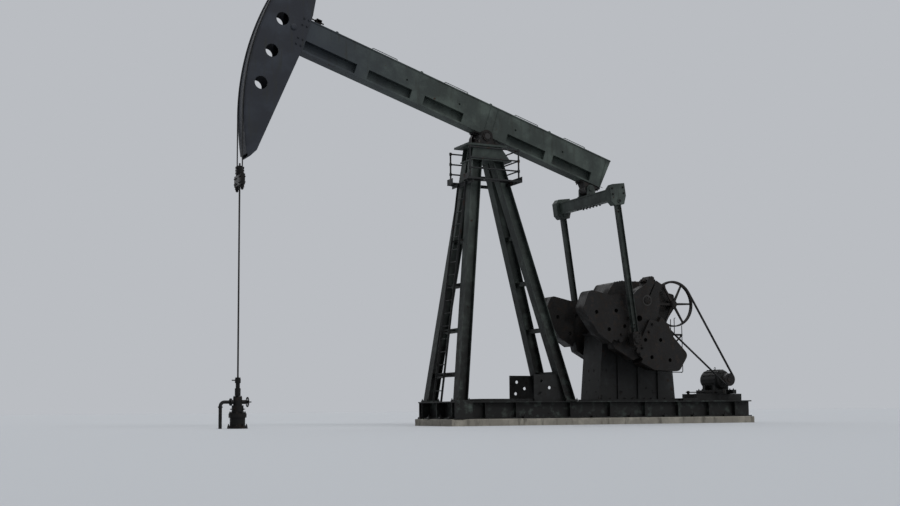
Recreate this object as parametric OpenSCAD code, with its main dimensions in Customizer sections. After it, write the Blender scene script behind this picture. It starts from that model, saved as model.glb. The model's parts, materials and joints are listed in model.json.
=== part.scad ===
// Beam pumping unit with its wellhead, seen at rest near the top of its stroke.
// X runs from the well (-X) to the motor (+X), Y across the machine, Z up.
// The origin is on the ground, under the centre bearing.

/* [Linkage] */
// Height of the centre bearing above the ground
pivot_z = 6740; // [6400:10:7000]
// Distance from the centre bearing to the polished rod
well_reach = 5870; // [5600:10:6100]
// Distance along the beam from the centre bearing to the tail bearing
tail_reach = 3085; // [3000:5:3150]
// Drop of the tail bearing below the line of the centre bearing
tail_drop = 70; // [40:5:110]
// Distance of the crankshaft behind the centre bearing
crank_x = 3965; // [3900:5:4050]
// Height of the crankshaft above the ground
crank_z = 2950; // [2880:5:3020]
// Radius from the crankshaft to the wrist pin
crank_radius = 1100; // [1050:5:1150]
// Length of the pitman from tail bearing to wrist pin
pitman_length = 3776; // [3700:2:3850]
// Slope of the cranks below level at rest, towards the well
crank_drop_deg = 61.685; // [55:0.005:68]

/* [Walking beam] */
// Depth of the beam
beam_depth = 760; // [700:10:820]
// Width of the beam
beam_width = 326; // [300:2:340]
// Height of the beam's underside above the line of the bearings
beam_rise = 72; // [70:1:100]
// Length of the beam that lies inside the horsehead
beam_insert = 190; // [150:10:230]
// Distance from the centre bearing to the beam's tail end
beam_tail = 3450; // [3400:10:3600]
// Height of the windows in the beam's side plates
window_height = 225; // [150:5:260]
// Distance from the beam's underside to the windows
window_rise = 45; // [35:5:80]
// Thickness of the web left between facing windows
web_thick = 36; // [20:2:60]
// Radius of the small round holes above the windows
sight_hole_r = 24; // [15:1:35]

/* [Horsehead] */
// Width of the horsehead across its side plates
head_width = 444; // [430:2:470]
// Thickness of the horsehead's side plates
head_plate = 20; // [15:1:25]
// Angle of the lower end of the track below the beam's line
head_low_deg = 26.5; // [26:0.5:28]
// Angle of the upper end of the track above the beam's line
head_high_deg = 25; // [23:0.5:27]
// Depth of the horsehead from track to back, at the beam
head_depth = 1060; // [1000:10:1100]
// Depth of the horsehead at its two tips
head_tip = 270; // [220:10:320]
// Radius of the round holes in the side plates
head_hole_r = 145; // [120:5:160]
// Distance between the round holes
head_hole_pitch = 780; // [700:10:820]
// Distance from the back edge at the beam to the holes' centres
head_hole_inset = 620; // [560:10:680]
// Thickness of the curved track plate
track_thick = 25; // [20:1:35]

/* [Bridle and rod] */
// Diameter of each bridle rope
rope_d = 28; // [22:1:34]
// Distance between the two bridle ropes
rope_gap = 380; // [340:5:390]
// Length of each bridle rope from its anchor on the head to the carrier bar
rope_length = 5613; // [5500:1:5700]
// Height of the carrier bar
carrier_height = 235; // [200:5:260]
// Width of the carrier bar along the machine
carrier_width = 90; // [70:5:110]
// Length of the carrier bar across the machine
carrier_length = 500; // [470:10:560]
// Diameter of the polished rod
rod_d = 38; // [30:1:42]
// Height of the rod's lower end above the ground, at rest
rod_low = 250; // [200:10:400]
// Height of the rod clamp above the carrier bar
clamp_height = 200; // [150:10:240]

/* [Crank and counterweights] */
// Diameter of the crankshaft
shaft_d = 260; // [220:5:300]
// Distance from the middle of the machine to each crank arm's inner face
crank_inner = 700; // [690:5:720]
// Thickness of each crank arm
crank_thick = 280; // [240:5:290]
// Half width of the crank arm between the counterweights
crank_half = 470; // [420:10:500]
// Distance from the crankshaft to the arm's outer end
crank_tip = 1480; // [1430:10:1550]
// Length of the split clamp behind the crankshaft
clamp_tail = 560; // [500:10:620]
// Width of the split clamp
clamp_width = 440; // [400:10:480]
// Radius of the wrist-pin holes in the arm
pin_hole_r = 75; // [60:5:85]
// Distance between the wrist-pin holes
pin_hole_pitch = 300; // [280:10:320]
// Thickness of each counterweight
weight_thick = 370; // [340:5:380]
// Reach of the counterweights to each side of the arm's centre line
weight_reach = 1580; // [1500:10:1620]
// Radius of the lifting holes in the counterweights
weight_hole_r = 48; // [35:1:60]

/* [Pitmans and equalizer] */
// Distance from the middle of the machine to each pitman's centre line
pitman_y = 1235; // [1220:5:1260]
// Depth of the pitman's section along the machine
pitman_depth = 130; // [110:5:160]
// Width of the pitman's flanges across the machine
pitman_width = 110; // [90:5:120]
// Thickness of the pitman's flanges and web
pitman_plate = 14; // [10:1:20]
// Depth of the equalizer beam
equalizer_depth = 280; // [240:10:300]
// Width of the equalizer beam along the machine
equalizer_width = 260; // [230:10:290]
// Distance from the tail bearing down to the equalizer beam
equalizer_drop = 290; // [280:5:330]
// Height of the head blocks at the equalizer's ends
head_block_height = 500; // [460:10:540]
// Radius of the wrist-pin bearing housings
wrist_r = 175; // [150:5:200]
// Length of the wrist-pin bearing housings
wrist_length = 170; // [150:5:180]

/* [Post] */
// Distance from the centre bearing forward to the front feet
front_foot_x = 985; // [900:5:1000]
// Distance from the centre bearing back to the rear feet
rear_foot_x = 1945; // [1850:5:2050]
// Half distance between the front feet
front_foot_y = 788; // [740:2:800]
// Half distance between the rear feet
rear_foot_y = 590; // [560:2:600]
// Distance from the centre bearing forward to the front legs' tops
front_top_x = 238; // [220:2:260]
// Distance from the centre bearing back to the rear legs' tops
rear_top_x = 315; // [300:5:340]
// Half distance between the legs' tops
leg_top_y = 154; // [145:1:170]
// Depth and width of the legs' section
leg_size = 250; // [220:2:260]
// Thickness of the legs' flanges and web
leg_plate = 16; // [12:1:22]
// Distance from the centre bearing down to the legs' tops
leg_top_drop = 573; // [560:1:600]
// Size of the cross bars between the legs
cross_bar = 100; // [80:5:120]

/* [Platform] */
// Distance from the centre bearing down to the platform's floor
platform_drop = 1040; // [980:10:1140]
// Forward reach of the platform
platform_front = 620; // [600:5:680]
// Backward reach of the platform
platform_back = 800; // [760:5:860]
// Half width of the platform
platform_half = 560; // [540:5:620]
// Height of the handrail above the floor
rail_height = 740; // [700:10:760]
// Diameter of the rail tubes
rail_d = 40; // [34:1:48]

/* [Base] */
// Height of the plinth
plinth_height = 156; // [120:2:200]
// Height of the skid above the ground
skid_top = 551; // [530:1:580]
// Distance from the centre bearing to the skid's rear end
skid_rear = 7264; // [7200:2:7300]
// Half width of the skid over its rails
skid_half = 680; // [660:5:700]
// Width of a skid rail's flanges
rail_flange = 260; // [230:5:280]
// Thickness of the rails' flanges and webs
skid_plate = 28; // [20:1:36]
// Half width of the front sill
sill_half = 950; // [930:5:1000]
// Length of the front sill along the machine
sill_length = 480; // [460:5:520]

/* [Gear reducer and stand] */
// Height of the crankshaft above the stand's top
shaft_over_stand = 750; // [710:10:800]
// Half width of the stand
stand_half = 450; // [420:5:470]
// Half width of the reducer housing
reducer_half = 400; // [380:5:420]
// Height of the reducer's top above the crankshaft
cover_over_shaft = 480; // [430:10:510]
// Distance of the input shaft behind the crankshaft
input_offset = 1071; // [1050:1:1100]
// Drop of the input shaft below the crankshaft
input_drop = 27; // [0:1:50]
// Diameter of the input shaft
input_d = 110; // [90:5:120]
// Radius of the brake drum on the input shaft's far end
brake_r = 190; // [160:5:220]
// Length of the bracket behind the stand's top edge
bracket_length = 350; // [300:10:400]

/* [Belt drive and motor] */
// Distance from the middle of the machine to the belt's centre plane
belt_y = 530; // [525:1:535]
// Radius of the big sheave to the belt's inner face
sheave_r = 560; // [540:5:575]
// Radius of the motor pulley to the belt's inner face
pulley_r = 150; // [130:5:165]
// Width of the belt
belt_width = 70; // [60:2:76]
// Thickness of the belt
belt_thick = 20; // [15:1:24]
// Distance of the motor shaft behind the centre bearing
motor_x = 6690; // [6640:5:6740]
// Height of the motor shaft above the ground
motor_z = 1080; // [1060:5:1100]
// Radius of the motor body
motor_r = 260; // [240:5:280]
// Length of the motor body
motor_length = 760; // [700:10:780]

/* [Wellhead] */
// Radius of the casing head
casing_r = 190; // [160:5:220]
// Height of the casing head
casing_height = 320; // [280:10:340]
// Radius of the wellhead's tee
tee_r = 95; // [80:5:110]
// Height of the tee's top above the ground
tee_top = 620; // [600:10:660]
// Height of the stuffing box's top above the ground
gland_top = 1080; // [1040:10:1140]
// Radius of the stuffing box
gland_r = 62; // [50:2:75]
// Radius of the valve's handwheel
wheel_r = 110; // [90:5:130]

/* [Hidden] */

steel = "#3a423f";
dark_steel = "#2a2f31";
cast_iron = "#2b2a28";
bright_steel = "#8d9094";
concrete = "#8c8a83";
rubber = "#17181a";

seat = 0.3;
running = 0.08;
fine_fn = 96;
round_fn = 64;
small_fn = 32;

// The linkage at rest: the cranks' slope sets the wrist pins, and with the pitmans the beam's slope.
crank_rest_deg = 180 + crank_drop_deg;
wrist_x = crank_x + crank_radius * cos(crank_rest_deg);
wrist_z = crank_z + crank_radius * sin(crank_rest_deg);
tail_arm = norm([tail_reach, tail_drop]);
pivot_to_wrist = norm([wrist_x, pivot_z - wrist_z]);
tail_to_wrist_deg = acos((pow(tail_arm, 2) + pow(pivot_to_wrist, 2) - pow(pitman_length, 2))
  / (2 * tail_arm * pivot_to_wrist));
tail_slope_deg = atan2(pivot_z - wrist_z, wrist_x) - tail_to_wrist_deg;
beam_rest_deg = tail_slope_deg - atan2(tail_drop, tail_reach);
tail_x = tail_arm * cos(tail_slope_deg);
tail_z = pivot_z - tail_arm * sin(tail_slope_deg);
pitman_rest_deg = atan2(wrist_x - tail_x, tail_z - wrist_z);

// Heights and reaches that follow the linkage.
leg_top_z = pivot_z - leg_top_drop;
platform_z = pivot_z - platform_drop;
stand_top = crank_z - shaft_over_stand;
reducer_top = crank_z + cover_over_shaft;
input_x = crank_x + input_offset;
input_z = crank_z - input_drop;
beam_front = well_reach - head_depth + beam_insert;
rope_anchor_deg = head_high_deg - 1;
wrapped_deg = rope_anchor_deg + beam_rest_deg;
carrier_top = pivot_z - rope_length + well_reach * wrapped_deg * PI / 180;

// Outline drawn in the XZ plane and given its width across the machine.
module across(y_low, y_high) {
  rotate([90, 0, 0])
    translate([0, 0, -y_high])
      linear_extrude(y_high - y_low) children();
}

// Round bar across the machine.
module cross_cylinder(radius, y_low, y_high, fn = round_fn) {
  translate([0, y_low, 0])
    rotate([-90, 0, 0])
      cylinder(r = radius, h = y_high - y_low, $fn = fn);
}

// Frame of the walking beam: +X to the tail, +Z away from the bearings.
module beam_frame() {
  translate([0, 0, pivot_z])
    rotate([0, beam_rest_deg, 0]) children();
}

// Frame of the cranks: +X from the shaft to the wrist pin.
module crank_frame() {
  translate([crank_x, 0, crank_z])
    rotate([0, -crank_rest_deg, 0]) children();
}

// Frame of the pitmans: origin on the tail bearing, -Z to the wrist pin.
module pitman_frame() {
  translate([tail_x, 0, tail_z])
    rotate([0, -pitman_rest_deg, 0]) children();
}

// Section of a rolled wide-flange beam: depth along X, flanges along Y.
module wide_flange(depth, width, plate) {
  square([plate, width], center = false);
  translate([depth - plate, 0]) square([plate, width]);
  translate([0, (width - plate) / 2]) square([depth, plate]);
}

// Solid between a foot and a top, with its section centred on the line.
module along_leg(foot, top) {
  run = top - foot;
  length = norm(run);
  translate(foot)
    rotate([-asin(run[1] / length), atan2(run[0], run[2]), 0])
      translate([0, 0, -leg_size])
        linear_extrude(length + 2 * leg_size)
          children();
}

front_foot = [-front_foot_x, front_foot_y, skid_top];
rear_foot = [rear_foot_x, rear_foot_y, skid_top];
front_top = [-front_top_x, leg_top_y, leg_top_z];
rear_top = [rear_top_x, leg_top_y, leg_top_z];
foot_plate_thick = 30;
foot_plate_size = 330;

function flip_y(point) = [point[0], -point[1], point[2]];

module leg(foot, top) {
  color(steel)
    intersection() {
      along_leg(foot, top)
        translate([-leg_size / 2, -leg_size / 2]) wide_flange(leg_size, leg_size, leg_plate);
      translate([-skid_rear, -skid_rear, skid_top + foot_plate_thick])
        cube([2 * skid_rear, 2 * skid_rear, leg_top_z - skid_top - foot_plate_thick]);
    }
}

// Space that a leg fills, with the seat gap round it.
module leg_space(foot, top) {
  along_leg(foot, top)
    square(leg_size + 2 * seat, center = true);
}

// Space that a leg's web fills, which stops a cross bar between the flanges.
module leg_web_space(foot, top) {
  along_leg(foot, top)
    square([leg_size, leg_plate + 2 * seat], center = true);
}

module front_leg_near() { leg(flip_y(front_foot), flip_y(front_top)); }
module front_leg_far() { leg(front_foot, front_top); }
module rear_leg_near() { leg(flip_y(rear_foot), flip_y(rear_top)); }
module rear_leg_far() { leg(rear_foot, rear_top); }

function on_leg(foot, top, z) = foot + (top - foot) * (z - foot[2]) / (top[2] - foot[2]);

front_bar_heights = [1160, 2170, 3220, 4280];
rear_bar_heights = [1190, 2220, 3330, 4400];

module leg_cross_bars() {
  color(steel)
    difference() {
      union() {
        for (z = front_bar_heights) bar_between(on_leg(front_foot, front_top, z));
        for (z = rear_bar_heights) bar_between(on_leg(rear_foot, rear_top, z));
      }
      for (side = [0, 1])
        mirror([0, side, 0]) {
          leg_web_space(front_foot, front_top);
          leg_web_space(rear_foot, rear_top);
        }
    }
}

// Angle bar from leg to leg at one height.
module bar_between(point) {
  across_length = 2 * point[1];
  translate([point[0] - cross_bar / 2, -point[1], point[2] - cross_bar / 2]) {
    cube([cross_bar, across_length, bar_plate]);
    cube([bar_plate, across_length, cross_bar]);
  }
}

bar_plate = 12;
ladder_half = 200;
ladder_stile = 50;
ladder_plate = 12;
rung_r = 11;
rung_pitch = 300;
ladder_first_rung = 250;
ladder_stand_off = 45;
ladder_lug_height = 40;

// Ladder in front of the post, with lugs onto the front cross bars.
module ladder() {
  run = [front_foot_x - front_top_x, leg_top_z - skid_top];
  lean = atan2(run[0], run[1]);
  face = leg_size / 2 / cos(lean) + ladder_stand_off;
  length = (platform_z - skid_top - foot_plate_thick) / cos(lean);
  color(dark_steel)
    difference() {
      union() {
        translate([-front_foot_x - face - ladder_stile, 0, skid_top])
          rotate([0, lean, 0]) {
            for (side = [-1, 1])
              translate([0, side * ladder_half - ladder_plate / 2, 0])
                cube([ladder_stile, ladder_plate, length]);
            for (step = [0 : floor((length - ladder_first_rung) / rung_pitch)])
              translate([ladder_stile / 2, -ladder_half, ladder_first_rung + step * rung_pitch])
                rotate([-90, 0, 0]) cylinder(r = rung_r, h = 2 * ladder_half, $fn = 8);
          }
        for (z = front_bar_heights)
          ladder_lug(on_leg(front_foot, front_top, z));
      }
      translate([-skid_rear, -skid_rear, 0]) cube([2 * skid_rear, 2 * skid_rear, skid_top]);
      translate([-skid_rear, -skid_rear, platform_z - platform_thick - seat])
        cube([2 * skid_rear, 2 * skid_rear, pivot_z]);
    }
}

// Pair of flat lugs from the stiles back to a cross bar.
module ladder_lug(point) {
  lug_reach = leg_size / 2 + ladder_stand_off + ladder_stile / 2 - cross_bar / 2;
  for (side = [-1, 1])
    translate([point[0] - cross_bar / 2 - seat - lug_reach,
      side * ladder_half - ladder_plate / 2, point[2] - ladder_lug_height / 2])
      cube([lug_reach, ladder_plate, ladder_lug_height]);
}

plinth_margin = 75;
plinth_side_margin = 30;
skid_overhang = 164;
plinth_front = front_foot_x + sill_length / 2 + plinth_margin;
plinth_rear = skid_rear - skid_overhang;
plinth_half = sill_half + plinth_side_margin;

// Concrete plinth under the whole machine.
module plinth() {
  color(concrete)
    translate([-plinth_front, -plinth_half, 0])
      cube([plinth_front + plinth_rear, 2 * plinth_half, plinth_height]);
}

skid_height = skid_top - plinth_height;

// Rolled section standing upright, drawn with its width along X.
module upright_section(height, width, plate) {
  translate([-width / 2, 0]) square([width, plate]);
  translate([-width / 2, height - plate]) square([width, plate]);
  translate([-plate / 2, 0]) square([plate, height]);
}

// Wide beam across the machine under the two front feet.
module front_sill() {
  color(steel)
    translate([-front_foot_x, 0, plinth_height]) {
      across(-sill_half, sill_half)
        upright_section(skid_height, sill_length, skid_plate);
      for (y = [-sill_half, -front_foot_y, 0, front_foot_y, sill_half])
        translate([0, min(max(y, stiffener / 2 - sill_half), sill_half - stiffener / 2), 0])
          translate([-sill_length / 2 + stiffener, -stiffener / 2, skid_plate])
            cube([sill_length - 2 * stiffener, stiffener, skid_height - 2 * skid_plate]);
    }
}

stiffener = 20;
skid_front = -front_foot_x + sill_length / 2;
rail_centre = skid_half - rail_flange / 2;

module skid_rail() {
  color(steel)
    translate([skid_front, rail_centre, plinth_height])
      rotate([90, 0, 90])
        linear_extrude(skid_rear - skid_front)
          upright_section(skid_height, rail_flange, skid_plate);
}

module skid_rail_near() { mirror([0, 1, 0]) skid_rail(); }
module skid_rail_far() { skid_rail(); }

stand_low_reach = [1065, 1155];
stand_high_reach = [915, 1020];
stand_front_low = crank_x - stand_low_reach[0];
stand_front_high = crank_x - stand_high_reach[0];
stand_back_low = crank_x + stand_low_reach[1];
stand_back_high = crank_x + stand_high_reach[1];
slide_rail_lead = 840;
slide_rail_front = motor_x - slide_rail_lead;
cross_member_width = 200;
cross_member_places = [
  rear_foot_x,
  stand_front_low + cross_member_width / 2,
  stand_back_low - cross_member_width / 2,
  slide_rail_front + cross_member_width / 2,
  skid_rear - cross_member_width / 2
];

// Beams between the two rails, under the feet, the stand and the motor.
module skid_cross_members() {
  half = skid_half - rail_flange;
  color(steel)
    for (x = cross_member_places)
      translate([x, 0, plinth_height])
        across(-half, half)
          upright_section(skid_height, cross_member_width, skid_plate);
}

deck_thick = 58;
deck_gap = 140;
deck_spans = [[-360, 520], [870, 1050], [stand_back_low + deck_gap, slide_rail_front - deck_gap]];

// Checker plates bolted across the skid.
module deck_plates() {
  color(dark_steel)
    for (span = deck_spans)
      translate([span[0], -rail_centre, skid_top])
        cube([span[1] - span[0], 2 * rail_centre, deck_thick]);
}

module foot_plate(point) {
  for (side = [-1, 1])
    translate([point[0] - foot_plate_size / 2, side * point[1] - foot_plate_size / 2, skid_top])
      cube([foot_plate_size, foot_plate_size, foot_plate_thick]);
}

gusset_front = 1020;
gusset_top = 1170;
gusset_plate = 18;
gusset_hole_r = 38;
gusset_holes = [[164, 186], [197, 464], [408, 310]];

// Base plates of the four legs, with the perforated gussets of the rear feet.
module foot_plates() {
  color(steel) {
    foot_plate(front_foot);
    foot_plate(rear_foot);
  }
}

module foot_gussets() {
  low = on_leg(rear_foot, rear_top, skid_top + foot_plate_thick);
  high = on_leg(rear_foot, rear_top, gusset_top);
  base = skid_top;
  color(dark_steel)
    for (side = [0, 1])
      mirror([0, side, 0])
        difference() {
          across(rear_foot_y - gusset_plate / 2, rear_foot_y + gusset_plate / 2)
            polygon([[gusset_front, base], [gusset_front, gusset_top], [high[0], gusset_top],
              [low[0], base]]);
          across(rear_foot_y - gusset_plate, rear_foot_y + gusset_plate)
            for (hole = gusset_holes)
              translate([gusset_front + hole[0], base + hole[1]]) circle(gusset_hole_r, $fn = small_fn);
          leg_space(rear_foot, rear_top);
          translate([rear_foot_x - foot_plate_size / 2 - seat, 0, 0])
            cube([foot_plate_size, skid_rear, skid_top + foot_plate_thick + seat]);
        }
}

cap_plate = 45;
cap_low_thick = 33;
bearing_height = 195;
cap_top_z = pivot_z - bearing_height;
cap_front = 530;
cap_back = 510;
cap_half = 360;
cap_low_front = 380;
cap_low_back = 640;
cap_rib = 24;
cap_rib_front = 330;
cap_rib_back = 400;

// Saddle plate on top of the post, with its ribs.
module post_cap() {
  color(steel) {
    translate([-cap_low_front, -cap_half + cap_rib, leg_top_z])
      cube([cap_low_front + cap_low_back, 2 * (cap_half - cap_rib), cap_low_thick]);
    translate([-cap_front, -cap_half, cap_top_z - cap_plate])
      cube([cap_front + cap_back, 2 * cap_half, cap_plate]);
    for (y = [-leg_top_y - leg_size / 2 + cap_rib / 2, 0, leg_top_y + leg_size / 2 - cap_rib / 2])
      across(y - cap_rib / 2, y + cap_rib / 2)
        polygon([[-cap_low_front, leg_top_z + cap_low_thick], [cap_low_back, leg_top_z + cap_low_thick],
          [cap_rib_back, cap_top_z - cap_plate], [-cap_rib_front, cap_top_z - cap_plate]]);
    for (x = [-front_top_x, rear_top_x])
      translate([x - cap_rib / 2, -leg_top_y - leg_size / 2 + cap_rib, leg_top_z + cap_low_thick])
        cube([cap_rib, 2 * leg_top_y + leg_size - 2 * cap_rib,
          cap_top_z - cap_plate - leg_top_z - cap_low_thick]);
  }
}

saddle_shaft_r = 70;
bearing_inner = 175;
bearing_width = 140;
bearing_half = 300;
bearing_foot = 42;
bearing_housing_r = 155;
bearing_cap_r = 112;
bearing_cap_thick = 24;
bearing_toe_half = 216;
bearing_neck_half = 146;
bearing_neck_drop = 53;

module bearing_outline() {
  difference() {
    union() {
      translate([0, pivot_z]) circle(bearing_housing_r, $fn = round_fn);
      translate([-bearing_half, cap_top_z]) square([2 * bearing_half, bearing_foot]);
      polygon([[-bearing_toe_half, cap_top_z], [bearing_toe_half, cap_top_z],
        [bearing_neck_half, pivot_z - bearing_neck_drop], [-bearing_neck_half, pivot_z - bearing_neck_drop]]);
    }
    translate([0, pivot_z]) circle(saddle_shaft_r + running, $fn = round_fn);
  }
}

// Two split pillow blocks that carry the beam's shaft.
module post_bearings() {
  color(cast_iron)
    for (side = [0, 1])
      mirror([0, side, 0]) {
        across(bearing_inner, bearing_inner + bearing_width) bearing_outline();
        translate([0, 0, pivot_z])
          difference() {
            cross_cylinder(bearing_cap_r, bearing_inner + bearing_width,
              bearing_inner + bearing_width + bearing_cap_thick);
            cross_cylinder(saddle_shaft_r + running, bearing_inner,
              bearing_inner + bearing_width + 2 * bearing_cap_thick);
          }
      }
}

platform_thick = 40;
kerb_height = 100;
kerb_thick = 8;
hatch_half = 260;
hatch_depth = 230;
platform_bearer = 80;

// Chequered floor round the post's head, with kerbs, bearers and a hatch for the ladder.
module platform_floor() {
  color(dark_steel)
    difference() {
      union() {
        translate([-platform_front, -platform_half, platform_z - platform_thick])
          cube([platform_front + platform_back, 2 * platform_half, platform_thick]);
        for (side = [-1, 1])
          translate([-platform_front, side * (platform_half - kerb_thick / 2) - kerb_thick / 2, platform_z])
            cube([platform_front + platform_back, kerb_thick, kerb_height]);
        translate([platform_back - kerb_thick, -platform_half, platform_z])
          cube([kerb_thick, 2 * platform_half, kerb_height]);
        for (x = [-front_top_x - leg_size, rear_top_x + leg_size])
          translate([x - platform_bearer / 2, -platform_half, platform_z - platform_thick - platform_bearer])
            cube([platform_bearer, 2 * platform_half, platform_bearer]);
      }
      translate([-platform_front - platform_thick, -hatch_half, platform_z - 2 * platform_thick - platform_bearer])
        cube([hatch_depth + platform_thick, 2 * hatch_half, pivot_z - platform_z]);
      for (side = [0, 1])
        mirror([0, side, 0]) {
          leg_space(front_foot, front_top);
          leg_space(rear_foot, rear_top);
        }
    }
}

rail_end_inset = 70;
rail_side_inset = 50;
rail_drops = [0, 250, 490];
rail_posts_x = [-platform_front + rail_end_inset, platform_back - rail_end_inset];
rail_post_y = platform_half - rail_side_inset;
side_rail_shrink = 2;
back_rail_shrink = 3;

// Tube handrails on both sides and across the back of the platform.
module handrails() {
  rail_r = rail_d / 2;
  rail_low = platform_z;
  color(dark_steel)
    union() {
      for (x = rail_posts_x, side = [-1, 1])
        translate([x, side * rail_post_y, rail_low])
          cylinder(r = rail_r, h = rail_height, $fn = small_fn);
      for (side = [-1, 1], drop = rail_drops)
        translate([rail_posts_x[0] - rail_r, side * rail_post_y, rail_low + rail_height - drop - rail_r])
          rotate([0, 90, 0])
            cylinder(r = rail_r - side_rail_shrink, h = rail_posts_x[1] - rail_posts_x[0] + rail_d, $fn = small_fn);
      for (drop = rail_drops)
        translate([rail_posts_x[1], 0, rail_low + rail_height - drop - rail_r])
          cross_cylinder(rail_r - back_rail_shrink, -rail_post_y, rail_post_y, small_fn);
    }
}

stand_flange = 40;
stand_flange_reach = 40;
stand_rib = 22;
stand_rib_places = [0.2, 0.5, 0.8];

// Boxed stand that lifts the reducer above the skid.
module reducer_stand() {
  color(dark_steel) {
    across(-stand_half + stand_flange_reach, stand_half - stand_flange_reach)
      polygon([[stand_front_low, skid_top], [stand_back_low, skid_top],
        [stand_back_high, stand_top], [stand_front_high, stand_top]]);
    for (part = stand_rib_places)
      translate([stand_front_high + part * (stand_back_high - stand_front_high) - stand_rib / 2,
        -stand_half, skid_top])
        cube([stand_rib, 2 * stand_half, stand_top - skid_top]);
    translate([stand_front_low - stand_flange_reach, -stand_half, skid_top])
      cube([stand_back_low - stand_front_low + 2 * stand_flange_reach, 2 * stand_half, stand_flange]);
    translate([stand_front_high - stand_flange_reach, -stand_half, stand_top - stand_flange])
      cube([stand_back_high - stand_front_high + 2 * stand_flange_reach, 2 * stand_half, stand_flange]);
  }
}

bracket_y = 405;
bracket_width = 50;
bracket_thick = 45;
brace_thick = 34;
brace_drop = 368;
pipe_bar_r = 10;
short_pipes_x = [15, 125];
short_pipe_rise = 360;
pipe_bend = 35;
coupling_r = 14;
coupling_length = 24;
coupling_lap = 6;
long_pipe_rise = 210;
long_pipe_low = 1250;

// Place on the stand's sloping back wall at one height.
function stand_back(z) =
  stand_back_low + (stand_back_high - stand_back_low) * (z - skid_top) / (stand_top - skid_top);

// Quarter bend of thin pipe in the XZ plane, rising at the origin and turning to +X.
module pipe_quarter() {
  translate([pipe_bend, 0, 0])
    rotate([90, 0, 0])
      rotate([0, 0, 90])
        rotate_extrude(angle = 90, $fn = round_fn)
          translate([pipe_bend, 0]) circle(pipe_bar_r, $fn = small_fn);
}

// Bracket behind the stand's top edge, with its brace, two short pipes and a long thin one.
module pipe_bracket() {
  start = stand_back_high + stand_flange_reach + seat;
  end = start + bracket_length;
  low = stand_top - brace_drop;
  wall = stand_back(low) + seat;
  foot = stand_back(long_pipe_low - pipe_bar_r) + seat;
  color(dark_steel)
    translate([0, -bracket_y, 0]) {
      translate([start, -bracket_width / 2, stand_top - bracket_thick])
        cube([bracket_length, bracket_width, bracket_thick]);
      across(-bracket_width / 2, bracket_width / 2)
        polygon([[end - brace_thick, stand_top - bracket_thick], [end, stand_top - bracket_thick],
          [wall, low], [wall, low + brace_thick]]);
      for (x = short_pipes_x)
        translate([start + x, 0, stand_top - pipe_bar_r])
          cylinder(r = pipe_bar_r, h = short_pipe_rise + pipe_bar_r, $fn = small_fn);
      translate([start + short_pipes_x[1], 0, stand_top + short_pipe_rise]) pipe_quarter();
      translate([end, 0, long_pipe_low + pipe_bend])
        cylinder(r = pipe_bar_r, h = stand_top + long_pipe_rise - long_pipe_low - pipe_bend, $fn = small_fn);
      translate([end, 0, long_pipe_low + pipe_bend])
        rotate([180, 0, 180]) pipe_quarter();
      translate([foot, 0, long_pipe_low])
        rotate([0, 90, 0]) cylinder(r = pipe_bar_r, h = end - pipe_bend - foot, $fn = small_fn);
      translate([end - pipe_bend + coupling_lap, 0, long_pipe_low])
        rotate([0, -90, 0]) cylinder(r = coupling_r, h = coupling_length, $fn = small_fn);
    }
}

// Points of an arc that rounds one corner of an outline.
function unit(v) = v / norm(v);
function corner_arc(before, corner, after, radius) =
  let (
    toward = unit(before - corner),
    away = unit(after - corner),
    half = acos(toward * away) / 2,
    centre = corner + unit(toward + away) * radius / sin(half),
    first = corner + toward * radius / tan(half) - centre,
    last = corner + away * radius / tan(half) - centre,
    from_deg = atan2(first[1], first[0]),
    turn = (atan2(last[1], last[0]) - from_deg + 540) % 360 - 180
  )
  [for (i = [0 : corner_steps])
    centre + radius * [cos(from_deg + turn * i / corner_steps), sin(from_deg + turn * i / corner_steps)]];
function rounded_outline(points, radii) =
  let (count = len(points))
  [for (i = [0 : count - 1])
    for (p = corner_arc(points[(i + count - 1) % count], points[i], points[(i + 1) % count], radii[i])) p];
corner_steps = 5;

reducer_foot_inset = [70, 25];
reducer_foot_front = stand_front_high + reducer_foot_inset[0];
reducer_foot_back = stand_back_high - reducer_foot_inset[1];
reducer_foot_height = 180;
reducer_foot_slope = 60;
reducer_back_height = 300;
reducer_back_slope = 50;
reducer_front = 760;
reducer_cover_front = 560;
reducer_belly_rise = 180;
reducer_belly_drop = 330;
reducer_back = 130;
reducer_back_drop = 90;
reducer_back_rise = 250;
reducer_step = [90, 300];
reducer_split = 70;
split_front = 800;
split_back = 180;
split_reach = 30;
reducer_boss_r = 250;
reducer_boss_reach = 60;
input_boss_r = 130;
input_boss_reach = 30;
cover_half = 190;
cover_front = 200;
cover_length = 570;
cover_height = 60;
bearing_bore_r = shaft_d / 2 + running;

// Gear case outline: sump, slopes and the raised cover.
module reducer_outline() {
  polygon(rounded_outline([
    [reducer_foot_front, stand_top],
    [reducer_foot_back, stand_top],
    [reducer_foot_back - reducer_back_slope, stand_top + reducer_back_height],
    [input_x + reducer_back, input_z - reducer_back_drop],
    [input_x + reducer_back, input_z + reducer_back_rise],
    [input_x - reducer_step[0], input_z + reducer_step[1]],
    [input_x - reducer_back, reducer_top],
    [crank_x - reducer_cover_front, reducer_top],
    [crank_x - reducer_front, crank_z + reducer_belly_rise],
    [crank_x - reducer_front, crank_z - reducer_belly_drop],
    [reducer_foot_front + reducer_foot_slope, stand_top + reducer_foot_height]],
    [8, 8, 60, 60, 50, 40, 40, 120, 90, 120, 60]));
}

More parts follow.
